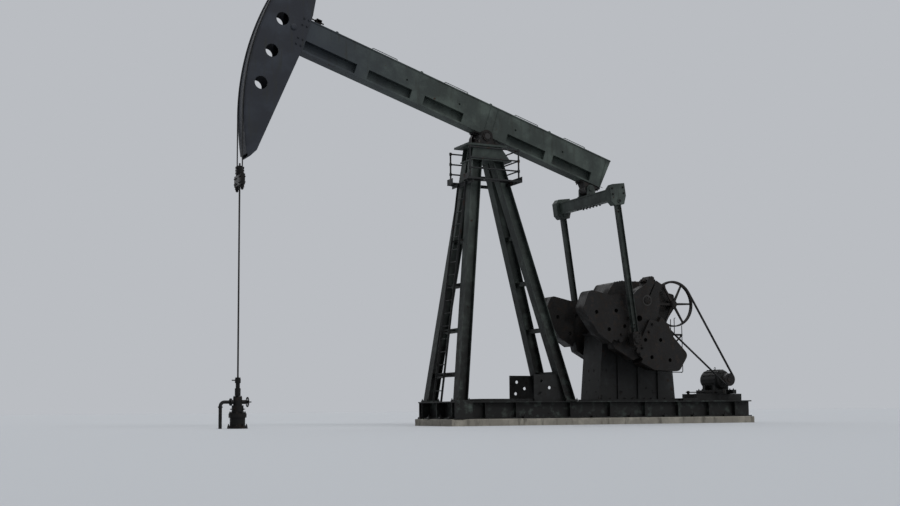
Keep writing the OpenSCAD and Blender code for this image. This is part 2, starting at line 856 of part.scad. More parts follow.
// Gear reducer: case, split flange, bearing bosses and inspection cover.
module gear_reducer() {
  color(cast_iron)
    difference() {
      union() {
        across(-reducer_half, reducer_half) reducer_outline();
        translate([crank_x - split_front, -reducer_half - split_reach, crank_z - reducer_split / 2])
          cube([input_offset + split_front + split_back, 2 * (reducer_half + split_reach), reducer_split]);
        translate([crank_x, 0, crank_z])
          cross_cylinder(reducer_boss_r, -reducer_half - reducer_boss_reach, reducer_half + reducer_boss_reach);
        translate([input_x, 0, input_z])
          cross_cylinder(input_boss_r, -reducer_half - input_boss_reach, reducer_half + input_boss_reach);
        translate([crank_x - cover_front, -cover_half, reducer_top - 1])
          cube([cover_length, 2 * cover_half, cover_height]);
      }
      translate([crank_x, 0, crank_z])
        cross_cylinder(bearing_bore_r, -2 * reducer_half, 2 * reducer_half);
      for (side = [0, 1])
        mirror([0, side, 0])
          translate([input_x, 0, input_z])
            cross_cylinder(input_d / 2 + running, -2 * reducer_half, -reducer_half + input_depth);
    }
}

input_depth = 200;
sheave_width = 90;
rim_depth = 34;
hub_r = 85;
hub_length = 110;
spoke_count = 6;
spoke_root = 62;
spoke_tip = 40;
spoke_thick = 34;
sheave_rest_deg = 2;

// Spoked flywheel sheave on the reducer's input shaft.
module drive_sheave() {
  color(cast_iron)
    translate([input_x, 0, input_z]) {
      difference() {
        cross_cylinder(sheave_r, -belt_y - sheave_width / 2, -belt_y + sheave_width / 2, fine_fn);
        cross_cylinder(sheave_r - rim_depth, -belt_y - sheave_width, -belt_y + sheave_width, fine_fn);
      }
      cross_cylinder(hub_r, -belt_y - hub_length / 2, -belt_y + hub_length / 2);
      for (i = [0 : spoke_count - 1])
        rotate([0, -sheave_rest_deg - i * 360 / spoke_count, 0])
          across(-belt_y - spoke_thick / 2, -belt_y + spoke_thick / 2)
            polygon([[0, -spoke_root / 2], [sheave_r - rim_depth / 2, -spoke_tip / 2],
              [sheave_r - rim_depth / 2, spoke_tip / 2], [0, spoke_root / 2]]);
      cross_cylinder(input_d / 2, -belt_y - hub_length / 2 - shaft_end_reach,
        -reducer_half + input_depth - shaft_end_play);
    }
}

shaft_end_play = 2;
brake_inner = 470;
brake_width = 85;
brake_wall = 16;
brake_hub_reach = 20;
shaft_end_reach = 12;

// Brake drum on the far end of the input shaft, open towards the reducer.
module brake_drum() {
  color(cast_iron)
    translate([input_x, 0, input_z]) {
      difference() {
        cross_cylinder(brake_r, brake_inner, brake_inner + brake_width, fine_fn);
        cross_cylinder(brake_r - brake_wall, 0, brake_inner + brake_width - brake_wall, fine_fn);
      }
      cross_cylinder(hub_r, brake_inner, brake_inner + brake_width + brake_hub_reach);
      cross_cylinder(input_d / 2, reducer_half - input_depth + shaft_end_play,
        brake_inner + brake_width + brake_hub_reach + shaft_end_reach);
    }
}

belt_play = 0.6;
belt_fn = 120;

module belt_path(extra) {
  hull() {
    translate([input_x, input_z]) circle(sheave_r + extra, $fn = belt_fn);
    translate([motor_x, motor_z]) circle(pulley_r + extra, $fn = belt_fn);
  }
}

// Endless belt from the motor to the sheave, in one loop.
module drive_belt() {
  color(rubber)
    across(-belt_y - belt_width / 2, -belt_y + belt_width / 2)
      difference() {
        belt_path(belt_thick);
        belt_path(belt_play);
      }
}

motor_shaft_d = 70;
motor_near = -360;
motor_shaft_depth = 80;

module motor_pulley() {
  color(cast_iron)
    translate([motor_x, 0, motor_z]) {
      cross_cylinder(pulley_r, -belt_y - sheave_width / 2, -belt_y + sheave_width / 2);
      cross_cylinder(motor_shaft_d, -belt_y - sheave_width / 2 - 15, -belt_y);
      cross_cylinder(motor_shaft_d / 2, -belt_y, motor_near + motor_shaft_depth - 2);
    }
}

motor_feet_width = 110;
slide_rail_height = 170;
motor_foot_height = motor_z - motor_r - skid_top - slide_rail_height;
slide_rail_width = 100;
slide_rail_y = 240;
motor_fin_count = 14;
motor_fin = 14;
motor_shell_r = motor_r - 18;
motor_bell = 90;
motor_nose_r = 130;
motor_nose_length = 27;
motor_edge_r = 208;
motor_fan_r = 182;
motor_fin_inset = 117;
motor_foot_spread = 205;
motor_feet_half = 208;
motor_feet_height = 130;
terminal_place = 195;
terminal_size = [170, 240, 240];

// Electric motor: round body with end bells, cooling fins, feet and terminal box.
module motor() {
  body_near = motor_near;
  body_far = motor_near + motor_length;
  color(dark_steel)
    translate([motor_x, 0, motor_z])
      difference() {
        union() {
          translate([0, body_near, 0])
            rotate([-90, 0, 0])
              rotate_extrude($fn = round_fn)
                polygon([[0, 0], [motor_nose_r, 0], [motor_edge_r, motor_nose_length],
                  [motor_shell_r, motor_bell], [motor_shell_r, motor_length - motor_bell],
                  [motor_edge_r, motor_length - motor_nose_length], [motor_fan_r, motor_length],
                  [0, motor_length]]);
          for (i = [0 : motor_fin_count - 1])
            rotate([0, i * 360 / motor_fin_count, 0])
              translate([0, body_near + motor_fin_inset, -motor_fin / 2])
                cube([motor_r, motor_length - 2 * motor_fin_inset, motor_fin]);
          for (side = [-1, 1])
            translate([-motor_feet_half, (body_near + body_far) / 2 + side * motor_foot_spread - motor_feet_width / 2,
              -motor_r])
              cube([2 * motor_feet_half, motor_feet_width, motor_feet_height]);
          translate([terminal_place, (body_near + body_far) / 2 - terminal_size[1] / 2, -terminal_size[2] / 2])
            cube(terminal_size);
        }
        cross_cylinder(motor_shaft_d / 2 + running, -2 * motor_length, body_near + motor_shaft_depth);
      }
}

// Slide rails and cross plates that carry the motor.
module motor_rails() {
  color(steel) {
    for (side = [-1, 1])
      translate([slide_rail_front, side * slide_rail_y - slide_rail_width / 2, skid_top])
        cube([skid_rear - slide_rail_front, slide_rail_width, slide_rail_height]);
    for (x = [motor_x - motor_feet_half, motor_x + motor_feet_half - slide_rail_width])
      translate([x, -rail_centre, skid_top + slide_rail_height])
        cube([slide_rail_width, 2 * rail_centre, motor_foot_height]);
  }
}

tee_bore_r = 45;
casing_waist = 28;
head_flange_r = casing_r + 25;
head_flange_thick = 45;
casing_bolt_count = 8;
casing_bolt_circle_r = casing_r - 2;
casing_bolt_hole_r = 14;
hanger_top = tee_top - 130;
hanger_r = 125;
outlet_z = tee_top - 60;
outlet_r = 44;
outlet_flange_r = 78;
outlet_flange_thick = 32;
outlet_reach = hanger_r + 10;
bonnet_reach = 75;
stem_r = 12;
wheel_offset = 215;
wheel_tube = 11;

// Casing head with its flanges and the pumping tee, bored for the rod.
module wellhead() {
  color(cast_iron)
    translate([-well_reach, 0, 0])
      difference() {
        union() {
          cylinder(r = casing_r - casing_waist, h = casing_height, $fn = round_fn);
          translate([0, 0, casing_height - 2 * head_flange_thick])
            cylinder(r = casing_r, h = 2 * head_flange_thick, $fn = round_fn);
          cylinder(r = head_flange_r, h = head_flange_thick, $fn = round_fn);
          translate([0, 0, casing_height]) cylinder(r = hanger_r, h = hanger_top - casing_height, $fn = round_fn);
          translate([0, 0, hanger_top]) cylinder(r = tee_r, h = tee_top - hanger_top, $fn = round_fn);
          translate([0, 0, outlet_z]) rotate([0, -90, 0]) cylinder(r = outlet_r, h = outlet_reach, $fn = small_fn);
          translate([0, 0, outlet_z]) rotate([0, 90, 0])
            cylinder(r = outlet_r, h = tee_r + bonnet_reach, $fn = small_fn);
        }
        translate([0, 0, -1]) cylinder(r = tee_bore_r, h = tee_top + 2, $fn = small_fn);
        for (i = [0 : casing_bolt_count - 1])
          rotate([0, 0, (i + 0.5) * 360 / casing_bolt_count])
            translate([casing_bolt_circle_r, 0, -1])
              cylinder(r = casing_bolt_hole_r, h = head_flange_thick + 2, $fn = small_fn);
        translate([0, 0, outlet_z]) rotate([0, 90, 0])
          cylinder(r = stem_r + running, h = tee_r + bonnet_reach + 1, $fn = small_fn);
      }
}

gland_step = 17;
gland_flange_thick = 40;
gland_body_rise = 74;
gland_body_height = 156;
gland_cap_height = 92;
gland_cap_drop = 28;
gland_lever_drop = 60;
gland_lever_reach = 130;

// Stuffing box that seals the polished rod.
module stuffing_box() {
  height = gland_top - tee_top;
  color(cast_iron)
    translate([-well_reach, 0, tee_top])
      difference() {
        union() {
          cylinder(r = tee_r, h = gland_flange_thick, $fn = round_fn);
          cylinder(r = gland_r - gland_step, h = height, $fn = round_fn);
          translate([0, 0, gland_body_rise]) cylinder(r = gland_r, h = gland_body_height, $fn = round_fn);
          translate([0, 0, height - gland_cap_drop - gland_cap_height])
            cylinder(r = gland_r, h = gland_cap_height, $fn = round_fn);
          translate([0, 0, height - gland_lever_drop]) rotate([0, -90, 0])
            cylinder(r = stem_r, h = gland_lever_reach, $fn = small_fn);
        }
        translate([0, 0, -1]) cylinder(r = rod_d / 2 + running, h = height + 2, $fn = round_fn);
      }
}

pipe_r = 36;
elbow_radius = 90;
pipe_x = -well_reach - 375;

// Flow line: flange, elbow and the pipe down to the ground.
module flow_line() {
  start_x = -well_reach - outlet_reach;
  color(dark_steel) {
    translate([start_x, 0, outlet_z]) rotate([0, -90, 0])
      cylinder(r = outlet_flange_r, h = outlet_flange_thick, $fn = round_fn);
    translate([start_x - outlet_flange_thick, 0, outlet_z]) rotate([0, -90, 0])
      cylinder(r = pipe_r, h = start_x - outlet_flange_thick - pipe_x - elbow_radius, $fn = small_fn);
    translate([pipe_x + elbow_radius, 0, outlet_z - elbow_radius])
      rotate([90, -90, 0])
        rotate_extrude(angle = 90, $fn = round_fn)
          translate([elbow_radius, 0]) circle(pipe_r, $fn = small_fn);
    translate([pipe_x, 0, 0])
      cylinder(r = pipe_r, h = outlet_z - elbow_radius, $fn = small_fn);
    translate([pipe_x, 0, outlet_z - elbow_radius - outlet_flange_thick])
      cylinder(r = pipe_r * 1.35, h = outlet_flange_thick, $fn = small_fn);
  }
}

// Handwheel of the bleed valve, with its stem.
module valve_handwheel() {
  color(bright_steel)
    translate([-well_reach, 0, outlet_z])
      rotate([0, 90, 0]) {
        translate([0, 0, tee_bore_r + 10]) cylinder(r = stem_r, h = wheel_offset + 30, $fn = small_fn);
        translate([0, 0, wheel_offset])
          rotate_extrude($fn = round_fn) translate([wheel_r - wheel_tube, 0]) circle(wheel_tube, $fn = small_fn);
        for (i = [0 : 2])
          rotate([0, 0, i * 60])
            translate([-wheel_r + wheel_tube, -wheel_tube / 2, wheel_offset - wheel_tube / 2])
              cube([2 * (wheel_r - wheel_tube), wheel_tube, wheel_tube]);
        translate([0, 0, wheel_offset - 2 * wheel_tube]) cylinder(r = 2 * wheel_tube, h = 4 * wheel_tube, $fn = small_fn);
      }
}

beam_flange = 25;
beam_side_inset = 12;
front_windows = [[230, 1520], [1830, 2950], [3290, 4340]];
rear_windows = [[570, 1650], [1890, 3010]];
sight_holes = [-2240, -830, 740, 2100];
sight_hole_rise = 438;
sight_hole_depth = 30;
lifting_eyes = [-4110, -1900, 0, 1690];
eye_r = 45;
eye_hole_r = 22;
eye_thick = 20;
tail_slant = 100;
front_chamfer = 60;

// Boxed walking beam: flanges, side plates with windows, and lifting eyes.
module walking_beam() {
  half = beam_width / 2;
  side = half - beam_side_inset;
  top = beam_rise + beam_depth;
  window_low = beam_rise + window_rise;
  color(steel)
    beam_frame()
      difference() {
        union() {
          across(-side, side)
            polygon([[-beam_front + front_chamfer, beam_rise], [beam_tail - tail_slant, beam_rise],
              [beam_tail, top], [-beam_front + front_chamfer, top], [-beam_front, top - front_chamfer],
              [-beam_front, beam_rise + front_chamfer]]);
          translate([-beam_front + front_chamfer, -half, beam_rise])
            cube([beam_front - front_chamfer + beam_tail - tail_slant, 2 * half, beam_flange]);
          translate([-beam_front + front_chamfer, -half, top - beam_flange])
            cube([beam_front - front_chamfer + beam_tail, 2 * half, beam_flange]);
          for (u = lifting_eyes)
            across(-eye_thick / 2, eye_thick / 2)
              translate([u, top + eye_r]) {
                circle(eye_r, $fn = small_fn);
                translate([-eye_r, -eye_r]) square([2 * eye_r, eye_r]);
              }
        }
        for (y = [-half - 1, web_thick / 2]) {
          for (span = front_windows)
            translate([span[0] - beam_front, y, window_low])
              cube([span[1] - span[0], half + 1 - web_thick / 2, window_height]);
          for (span = rear_windows)
            translate([span[0], y, window_low])
              cube([span[1] - span[0], half + 1 - web_thick / 2, window_height]);
        }
        for (u = sight_holes, y = [-half - 1, side - sight_hole_depth])
          translate([u, y, beam_rise + sight_hole_rise])
            cross_cylinder(sight_hole_r, 0, half + 1 - side + sight_hole_depth, small_fn);
        for (u = lifting_eyes)
          translate([u, 0, top + eye_r]) cross_cylinder(eye_hole_r, -half, half, small_fn);
      }
}

track_r = well_reach - rope_d / 2 - seat;
head_inner_r = track_r - track_thick;
head_reference_rise = 560;
head_hole_steps = [-2, -1, 0, 1];
head_spacer = 140;
head_back_plate = 14;
head_brace = 16;
head_over_beam = 100;
head_under_beam = 80;
head_shoulder = [240, 150];
head_lobe = [60, 52];
head_tip_drop = 30;
head_past = 117;
head_front_past = 587;
head_front_inset = 250;

// Side outline of the horsehead in the beam's frame.
module head_outline() {
  low_u = head_inner_r * cos(head_low_deg);
  low_n = head_inner_r * sin(head_low_deg);
  high_u = head_inner_r * cos(head_high_deg);
  high_n = head_inner_r * sin(head_high_deg);
  back = head_depth - well_reach;
  intersection() {
    circle(head_inner_r, $fn = 360);
    polygon(rounded_outline([
      [back, beam_rise + beam_depth + head_over_beam],
      [back, beam_rise - head_under_beam],
      [back - head_shoulder[0], -low_n + head_shoulder[1]],
      [-low_u + head_lobe[0], -low_n - head_lobe[1]],
      [-low_u - head_past * cos(head_low_deg), -low_n - head_past * sin(head_low_deg)],
      [-well_reach - head_front_past, -low_n + head_front_inset],
      [-well_reach - head_front_past, high_n - head_front_inset],
      [-high_u - head_past * cos(head_high_deg), high_n + head_past * sin(head_high_deg)],
      [-high_u + head_tip, high_n - head_tip_drop]],
      [90, 90, 60, 40, 10, 10, 10, 10, 40]));
  }
}

module head_holes() {
  for (step = head_hole_steps)
    translate([head_depth - well_reach - head_hole_inset, 0, head_reference_rise + step * head_hole_pitch])
      cross_cylinder(head_hole_r, -head_width, head_width);
}

// Horsehead: two side plates with round holes, closed along the back and braced at the beam.
module horsehead() {
  half = head_width / 2;
  beam_half = beam_width / 2;
  back = head_depth - well_reach;
  color(dark_steel)
    beam_frame()
      difference() {
        union() {
          for (y = [-half, half - head_plate])
            across(y, y + head_plate) head_outline();
          across(-half + head_plate, half - head_plate)
            difference() {
              head_outline();
              translate([-head_back_plate, 0]) head_outline();
            }
          for (n = [beam_rise - head_brace - seat, beam_rise + beam_depth + seat])
            translate([back - head_depth / 2, -half + head_plate, n])
              cube([head_depth / 2 - head_back_plate, 2 * (half - head_plate), head_brace]);
          for (y = [-half + head_plate, beam_half + seat])
            translate([back - head_spacer - head_back_plate, y, beam_rise])
              cube([head_spacer, half - head_plate - beam_half - seat, beam_depth]);
        }
        head_holes();
        translate([-beam_front - seat, -beam_half - seat, beam_rise - seat])
          cube([beam_front, 2 * (beam_half + seat), beam_depth + 2 * seat]);
      }
}

// Sector of the beam's frame between two angles from the beam's front line.
module front_sector(low_deg, high_deg, reach) {
  polygon([[0, 0], [-reach * cos(low_deg), reach * sin(low_deg)],
    [-1.2 * reach, 0.5 * reach * (sin(low_deg) + sin(high_deg))],
    [-reach * cos(high_deg), reach * sin(high_deg)]]);
}

// Curved plate that the bridle ropes lie on.
module horsehead_track() {
  half = head_width / 2;
  color(dark_steel)
    beam_frame()
      across(-half, half)
        intersection() {
          difference() {
            circle(track_r, $fn = 360);
            circle(head_inner_r, $fn = 360);
          }
          front_sector(-head_low_deg, head_high_deg, 2 * well_reach);
        }
}

rope_fn = 16;

// The part of the bridle that lies on the track at rest.
module bridle_wrap() {
  color(bright_steel)
    beam_frame()
      for (side = [-1, 1])
        translate([0, side * rope_gap / 2, 0])
          rotate([90, 0, 0])
            rotate([0, 0, 180 - rope_anchor_deg])
              rotate_extrude(angle = wrapped_deg, $fn = 240)
                translate([well_reach, 0]) circle(rope_d / 2, $fn = rope_fn);
}

// The hanging part of the bridle, from the track to the carrier bar.
module bridle_strands() {
  color(bright_steel)
    for (side = [-1, 1])
      translate([-well_reach, side * rope_gap / 2, carrier_top])
        cylinder(r = rope_d / 2, h = pivot_z - carrier_top, $fn = rope_fn);
}

saddle_half_length = 260;
saddle_half_width = 150;
saddle_web_half = 120;
saddle_low = 105;
saddle_web_low = 35;
saddle_slot = 2;
saddle_flange = 30;

// Saddle under the beam that holds the centre shaft.
module beam_saddle() {
  color(cast_iron)
    beam_frame()
      difference() {
        union() {
          translate([-saddle_half_length, -saddle_half_width, beam_rise - saddle_flange])
            cube([2 * saddle_half_length, 2 * saddle_half_width, saddle_flange]);
          across(-saddle_half_width, saddle_half_width) {
            circle(saddle_low, $fn = round_fn);
            translate([-saddle_web_half, -saddle_web_low])
              square([2 * saddle_web_half, beam_rise - saddle_flange + saddle_web_low]);
          }
        }
        cross_cylinder(saddle_shaft_r + seat, -2 * saddle_half_width, 2 * saddle_half_width);
        translate([-saddle_half_length, -2 * saddle_half_width, beam_rise])
          cube([2 * saddle_half_length, 4 * saddle_half_width, saddle_low]);
      }
}

// Shaft through the saddle and both post bearings.
module saddle_shaft() {
  reach = bearing_inner + bearing_width + bearing_cap_thick + shaft_end_reach;
  color(bright_steel)
    beam_frame()
      difference() {
        cross_cylinder(saddle_shaft_r, -reach, reach);
        translate([-saddle_half_length, -saddle_half_width - saddle_slot, beam_rise - seat])
          cube([2 * saddle_half_length, 2 * (saddle_half_width + saddle_slot), saddle_low]);
      }
}

tail_shaft_r = 62;
tail_housing_r = 115;
tail_housing_half = 140;
tail_flange = 40;
tail_flange_half = 280;
tail_toe_half = 210;

// Housing of the tail bearing, bolted under the beam.
module tail_bearing() {
  color(cast_iron)
    beam_frame()
      translate([tail_reach, 0, -tail_drop])
        difference() {
          union() {
            cross_cylinder(tail_housing_r, -tail_housing_half, tail_housing_half);
            across(-tail_housing_half, tail_housing_half)
              polygon([[-tail_housing_r, 0], [tail_housing_r, 0],
                [tail_toe_half, beam_rise + tail_drop - tail_flange],
                [-tail_toe_half, beam_rise + tail_drop - tail_flange]]);
            translate([-tail_flange_half, -tail_housing_half, beam_rise + tail_drop - tail_flange])
              cube([2 * tail_flange_half, 2 * tail_housing_half, tail_flange]);
          }
          cross_cylinder(tail_shaft_r + running, -2 * tail_housing_half, 2 * tail_housing_half, fine_fn);
        }
}

lug_inner = 165;
lug_thick = 50;
lug_r = 95;
block_width = 200;
block_length = 420;
block_top_drop = 60;
block_chamfer = 90;
block_pin_rise = 90;
block_front_height = 300;
block_back_height = 400;
lug_foot_half = 117;
shaft_nut_reach = 20;
block_pin_r = 48;
block_pin_reach = 26;
box_wall_reach = 14;

// Equalizer: cross beam, lugs and shaft at the tail bearing, and a block over each pitman.
module equalizer_beam() {
  reach = pitman_y - block_width / 2;
  beam_top = equalizer_depth / 2 - equalizer_drop;
  color(steel)
    pitman_frame()
      union() {
        translate([-equalizer_width / 2 + box_wall_reach, -reach, beam_top - equalizer_depth])
          cube([equalizer_width - 2 * box_wall_reach, 2 * reach, equalizer_depth]);
        for (z = [beam_top - equalizer_depth, beam_top - beam_flange])
          translate([-equalizer_width / 2, -reach, z]) cube([equalizer_width, 2 * reach, beam_flange]);
        for (side = [0, 1])
          mirror([0, side, 0]) {
            across(lug_inner, lug_inner + lug_thick) {
              circle(lug_r, $fn = round_fn);
              polygon([[-lug_r, 0], [lug_r, 0], [lug_foot_half, beam_top], [-lug_foot_half, beam_top]]);
            }
            across(reach, reach + block_width)
              polygon([[-block_length / 2, -block_top_drop - block_chamfer],
                [-block_length / 2 + block_chamfer, -block_top_drop],
                [block_length / 2, -block_top_drop], [block_length / 2, -block_top_drop - block_front_height],
                [pitman_depth, -block_top_drop - head_block_height],
                [-pitman_depth, -block_top_drop - head_block_height],
                [-block_length / 2, -block_top_drop - block_back_height]]);
            translate([0, 0, block_pin_rise - block_top_drop - head_block_height])
              cross_cylinder(block_pin_r, reach - block_pin_reach, reach + block_width + block_pin_reach);
          }
        cross_cylinder(tail_shaft_r, -lug_inner - lug_thick - shaft_nut_reach,
          lug_inner + lug_thick + shaft_nut_reach, fine_fn);
      }
}

wrist_height = 370;
wrist_half = 118;

module pitman() {
  top = -block_top_drop - head_block_height;
  low = -pitman_length + wrist_height / 2;
  color(steel)
    pitman_frame()
      translate([-pitman_depth / 2, pitman_y - pitman_width / 2, low])
        linear_extrude(top - low)
          wide_flange(pitman_depth, pitman_width, pitman_plate);
}

module pitman_near() { mirror([0, 1, 0]) pitman(); }
module pitman_far() { pitman(); }

wrist_face = pitman_y - 105;
wrist_cover_r = 92;
wrist_cover = 22;

// Bearing housings at the pitmans' lower ends, which take the wrist pins.
module wrist_bearings() {
  color(cast_iron)
    pitman_frame()
      for (side = [0, 1])
        mirror([0, side, 0])
          translate([0, 0, -pitman_length]) {
            across(wrist_face, wrist_face + wrist_length)
              polygon(rounded_outline([[-wrist_half, -wrist_height / 2], [wrist_half, -wrist_height / 2],
                [wrist_half, wrist_height / 2], [-wrist_half, wrist_height / 2]], [100, 100, 45, 45]));
            cross_cylinder(wrist_cover_r, wrist_face + wrist_length, wrist_face + wrist_length + wrist_cover);
          }
}

crank_outer = crank_inner + crank_thick;
pin_seat_r = pin_hole_r - seat;
pin_collar_r = 108;
pin_collar = 40;
pin_gap = 5;
pin_nut_r = 80;
clamp_slot = 34;
clamp_bolt_r = 34;
clamp_bolt_place = 414;
clamp_bolt_reach = 60;
clamp_bolt_inset = 78;
clamp_neck = 308;
crank_waist = [-80, 367];
crank_shoulder = 300;
tip_corner = [190, 179];

// Crankshaft through the reducer, carrying both cranks.
module crankshaft() {
  color(bright_steel)
    translate([crank_x, 0, crank_z])
      cross_cylinder(shaft_d / 2, -crank_outer, crank_outer);
}

module crank_outline() {
  difference() {
    polygon(rounded_outline([
      [-clamp_tail, -clamp_width / 2],
      [-clamp_neck, -clamp_width / 2],
      [crank_waist[0], -crank_waist[1]],
      [crank_shoulder, -crank_half],
      [crank_tip - tip_corner[0], -crank_half],
      [crank_tip, -crank_half + tip_corner[1]],
      [crank_tip, crank_half - tip_corner[1]],
      [crank_tip - tip_corner[0], crank_half],
      [crank_shoulder, crank_half],
      [crank_waist[0], crank_waist[1]],
      [-clamp_neck, clamp_width / 2],
      [-clamp_tail, clamp_width / 2]],
      [30, 40, 120, 150, 60, 60, 60, 60, 150, 120, 40, 30]));
    circle(shaft_d / 2 + seat, $fn = round_fn);
    translate([-clamp_tail - 1, -clamp_slot / 2]) square([clamp_tail, clamp_slot]);
    for (step = [0 : 2])
      translate([crank_radius - step * pin_hole_pitch, 0]) circle(pin_hole_r, $fn = round_fn);
  }
}

// Crank arm with its split clamp, clamp bolts and wrist-pin holes.
module crank_arm() {
  color(cast_iron)
    crank_frame() {
      across(crank_inner, crank_outer) crank_outline();
      for (y = [crank_inner + clamp_bolt_inset, crank_outer - clamp_bolt_inset])
        translate([-clamp_bolt_place, y, -clamp_width / 2 - clamp_bolt_reach])
          cylinder(r = clamp_bolt_r, h = clamp_width + 2 * clamp_bolt_reach, $fn = small_fn);
    }
}

module crank_arm_near() { mirror([0, 1, 0]) crank_arm(); }
module crank_arm_far() { crank_arm(); }

weight_start = 190;
weight_end = 1450;
weight_corners = [[250, 838], [450, 569], [620, 0], [1110, 48], [1420, 695]];
weight_holes = [[700, 711], [1190, 679], [1000, 1169], [910, 332]];
lip_inner = 215;
lip_start = 330;
lip_end = 1360;
lip_slope = 70;
lip_overlap = 40;
lip_seat = 1;

// One counterweight on the arm's edge, with the lip that clasps the arm's face. Its corners are
// places along the arm and drops below the outer reach, its holes places along and out.
module counterweight() {
  inner = crank_half + lip_seat;
  difference() {
    union() {
      across(crank_inner, crank_inner + weight_thick)
        polygon(rounded_outline(concat(
          [[weight_start, inner]],
          [for (corner = weight_corners) [corner[0], weight_reach - corner[1]]],
          [[weight_end, inner]]),
          [10, 90, 130, 130, 160, 150, 10]));
      across(crank_outer + lip_seat, crank_inner + weight_thick)
        polygon(rounded_outline([
          [lip_start, inner + lip_overlap], [lip_start + lip_slope, lip_inner],
          [lip_end - lip_slope, lip_inner], [lip_end, inner + lip_overlap]],
          [10, 60, 60, 10]));
    }
    for (hole = weight_holes)
      translate([hole[0], crank_inner - 1, hole[1]])
        cross_cylinder(weight_hole_r, 0, weight_thick + 2, small_fn);
  }
}

module counterweight_pair() {
  color(cast_iron)
    crank_frame()
      for (side = [0, 1])
        mirror([0, 0, side]) counterweight();
}

module counterweights_near() { mirror([0, 1, 0]) counterweight_pair(); }
module counterweights_far() { counterweight_pair(); }

// Wrist pins held in the cranks' outermost holes.
module wrist_pins() {
  color(bright_steel)
    crank_frame()
      for (side = [0, 1])
        mirror([0, side, 0])
          translate([crank_radius, 0, 0]) {
            cross_cylinder(pin_seat_r, crank_inner, wrist_face - pin_gap);
            cross_cylinder(pin_collar_r, crank_outer + seat, crank_outer + seat + pin_collar);
            cross_cylinder(pin_nut_r, crank_inner - pin_collar, crank_inner - seat, 6);
          }
}

rod_hole_play = 2;
socket_r = 42;
socket_height = 60;
clamp_r = 62;
clamp_split = 8;
clamp_ear = 46;

// Carrier bar that the two ropes lift, with their sockets below.
module carrier_bar() {
  color(cast_iron)
    translate([-well_reach, 0, carrier_top - carrier_height])
      difference() {
        union() {
          translate([-carrier_width / 2, -carrier_length / 2, 0])
            cube([carrier_width, carrier_length, carrier_height - seat]);
          for (side = [-1, 1])
            translate([0, side * rope_gap / 2, -socket_height])
              cylinder(r = socket_r, h = socket_height, $fn = small_fn);
        }
        translate([0, 0, -1]) cylinder(r = rod_d / 2 + rod_hole_play, h = carrier_height + 2, $fn = small_fn);
      }
}

// Clamp that sits on the carrier bar and grips the rod.
module rod_clamp() {
  color(cast_iron)
    translate([-well_reach, 0, carrier_top])
      difference() {
        union() {
          cylinder(r = clamp_r, h = clamp_height, $fn = round_fn);
          for (part = [0.2, 0.5, 0.8])
            translate([-clamp_r - clamp_ear / 2, -clamp_ear, part * clamp_height - clamp_ear / 2])
              cube([2 * clamp_r + clamp_ear, 2 * clamp_ear, clamp_ear]);
        }
        translate([-2 * clamp_r, -clamp_split / 2, -1]) cube([4 * clamp_r, clamp_split, clamp_height + 2]);
        translate([0, 0, -1]) cylinder(r = rod_d / 2 + seat, h = clamp_height + 2, $fn = small_fn);
      }
}

rod_head = 60;

// Polished rod from above the clamp down into the well.
module polished_rod() {
  color(bright_steel)
    translate([-well_reach, 0, rod_low])
      cylinder(r = rod_d / 2, h = carrier_top + clamp_height + rod_head - rod_low, $fn = round_fn);
}

plinth();
front_sill();
skid_rail_near();
skid_rail_far();
skid_cross_members();
deck_plates();
foot_plates();
foot_gussets();
front_leg_near();
front_leg_far();
rear_leg_near();
rear_leg_far();
leg_cross_bars();
ladder();
post_cap();
post_bearings();
platform_floor();
handrails();
reducer_stand();
gear_reducer();
motor();
motor_rails();
drive_belt();
wellhead();
stuffing_box();
flow_line();
walking_beam();
horsehead();
horsehead_track();
beam_saddle();
saddle_shaft();
tail_bearing();
bridle_wrap();
crankshaft();
crank_arm_near();
crank_arm_far();
counterweights_near();
counterweights_far();
wrist_pins();
equalizer_beam();
pitman_near();
pitman_far();
wrist_bearings();
carrier_bar();
rod_clamp();
polished_rod();
bridle_strands();
drive_sheave();
motor_pulley();
valve_handwheel();
brake_drum();
pipe_bracket();
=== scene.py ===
"""Beam pumping unit at a well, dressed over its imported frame.

Lengths are in metres in the frame of the machine: X runs from the well to the motor, Z up,
and the origin is on the ground under the centre bearing.
"""

from __future__ import annotations

import json
import logging
import math
from collections.abc import Mapping, Sequence
from dataclasses import dataclass, field
from enum import Enum

import bmesh
import bpy
import numpy as np
from mathutils import Matrix, Vector

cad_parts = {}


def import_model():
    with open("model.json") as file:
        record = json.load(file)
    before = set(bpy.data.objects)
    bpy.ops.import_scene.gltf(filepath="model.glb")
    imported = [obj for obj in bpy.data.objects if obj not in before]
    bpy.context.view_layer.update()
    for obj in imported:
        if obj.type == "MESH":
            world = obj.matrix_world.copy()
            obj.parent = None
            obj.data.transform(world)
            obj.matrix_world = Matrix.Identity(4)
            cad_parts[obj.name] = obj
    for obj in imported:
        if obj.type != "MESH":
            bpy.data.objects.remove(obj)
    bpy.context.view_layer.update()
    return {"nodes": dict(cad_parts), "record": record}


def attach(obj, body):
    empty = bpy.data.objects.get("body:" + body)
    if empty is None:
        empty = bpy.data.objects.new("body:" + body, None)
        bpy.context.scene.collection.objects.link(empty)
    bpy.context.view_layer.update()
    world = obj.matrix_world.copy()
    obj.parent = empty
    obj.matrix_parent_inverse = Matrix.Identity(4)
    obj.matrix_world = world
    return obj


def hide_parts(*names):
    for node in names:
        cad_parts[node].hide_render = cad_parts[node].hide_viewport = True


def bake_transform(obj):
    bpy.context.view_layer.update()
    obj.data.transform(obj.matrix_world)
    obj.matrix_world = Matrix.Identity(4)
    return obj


LOG = logging.getLogger("pumping_unit")
Points = np.ndarray
Faces = np.ndarray
# The coordinates along, sideways and up; a bolt stands at each combination of them.
Rows = tuple[tuple[float, ...], tuple[float, ...], tuple[float, ...]]
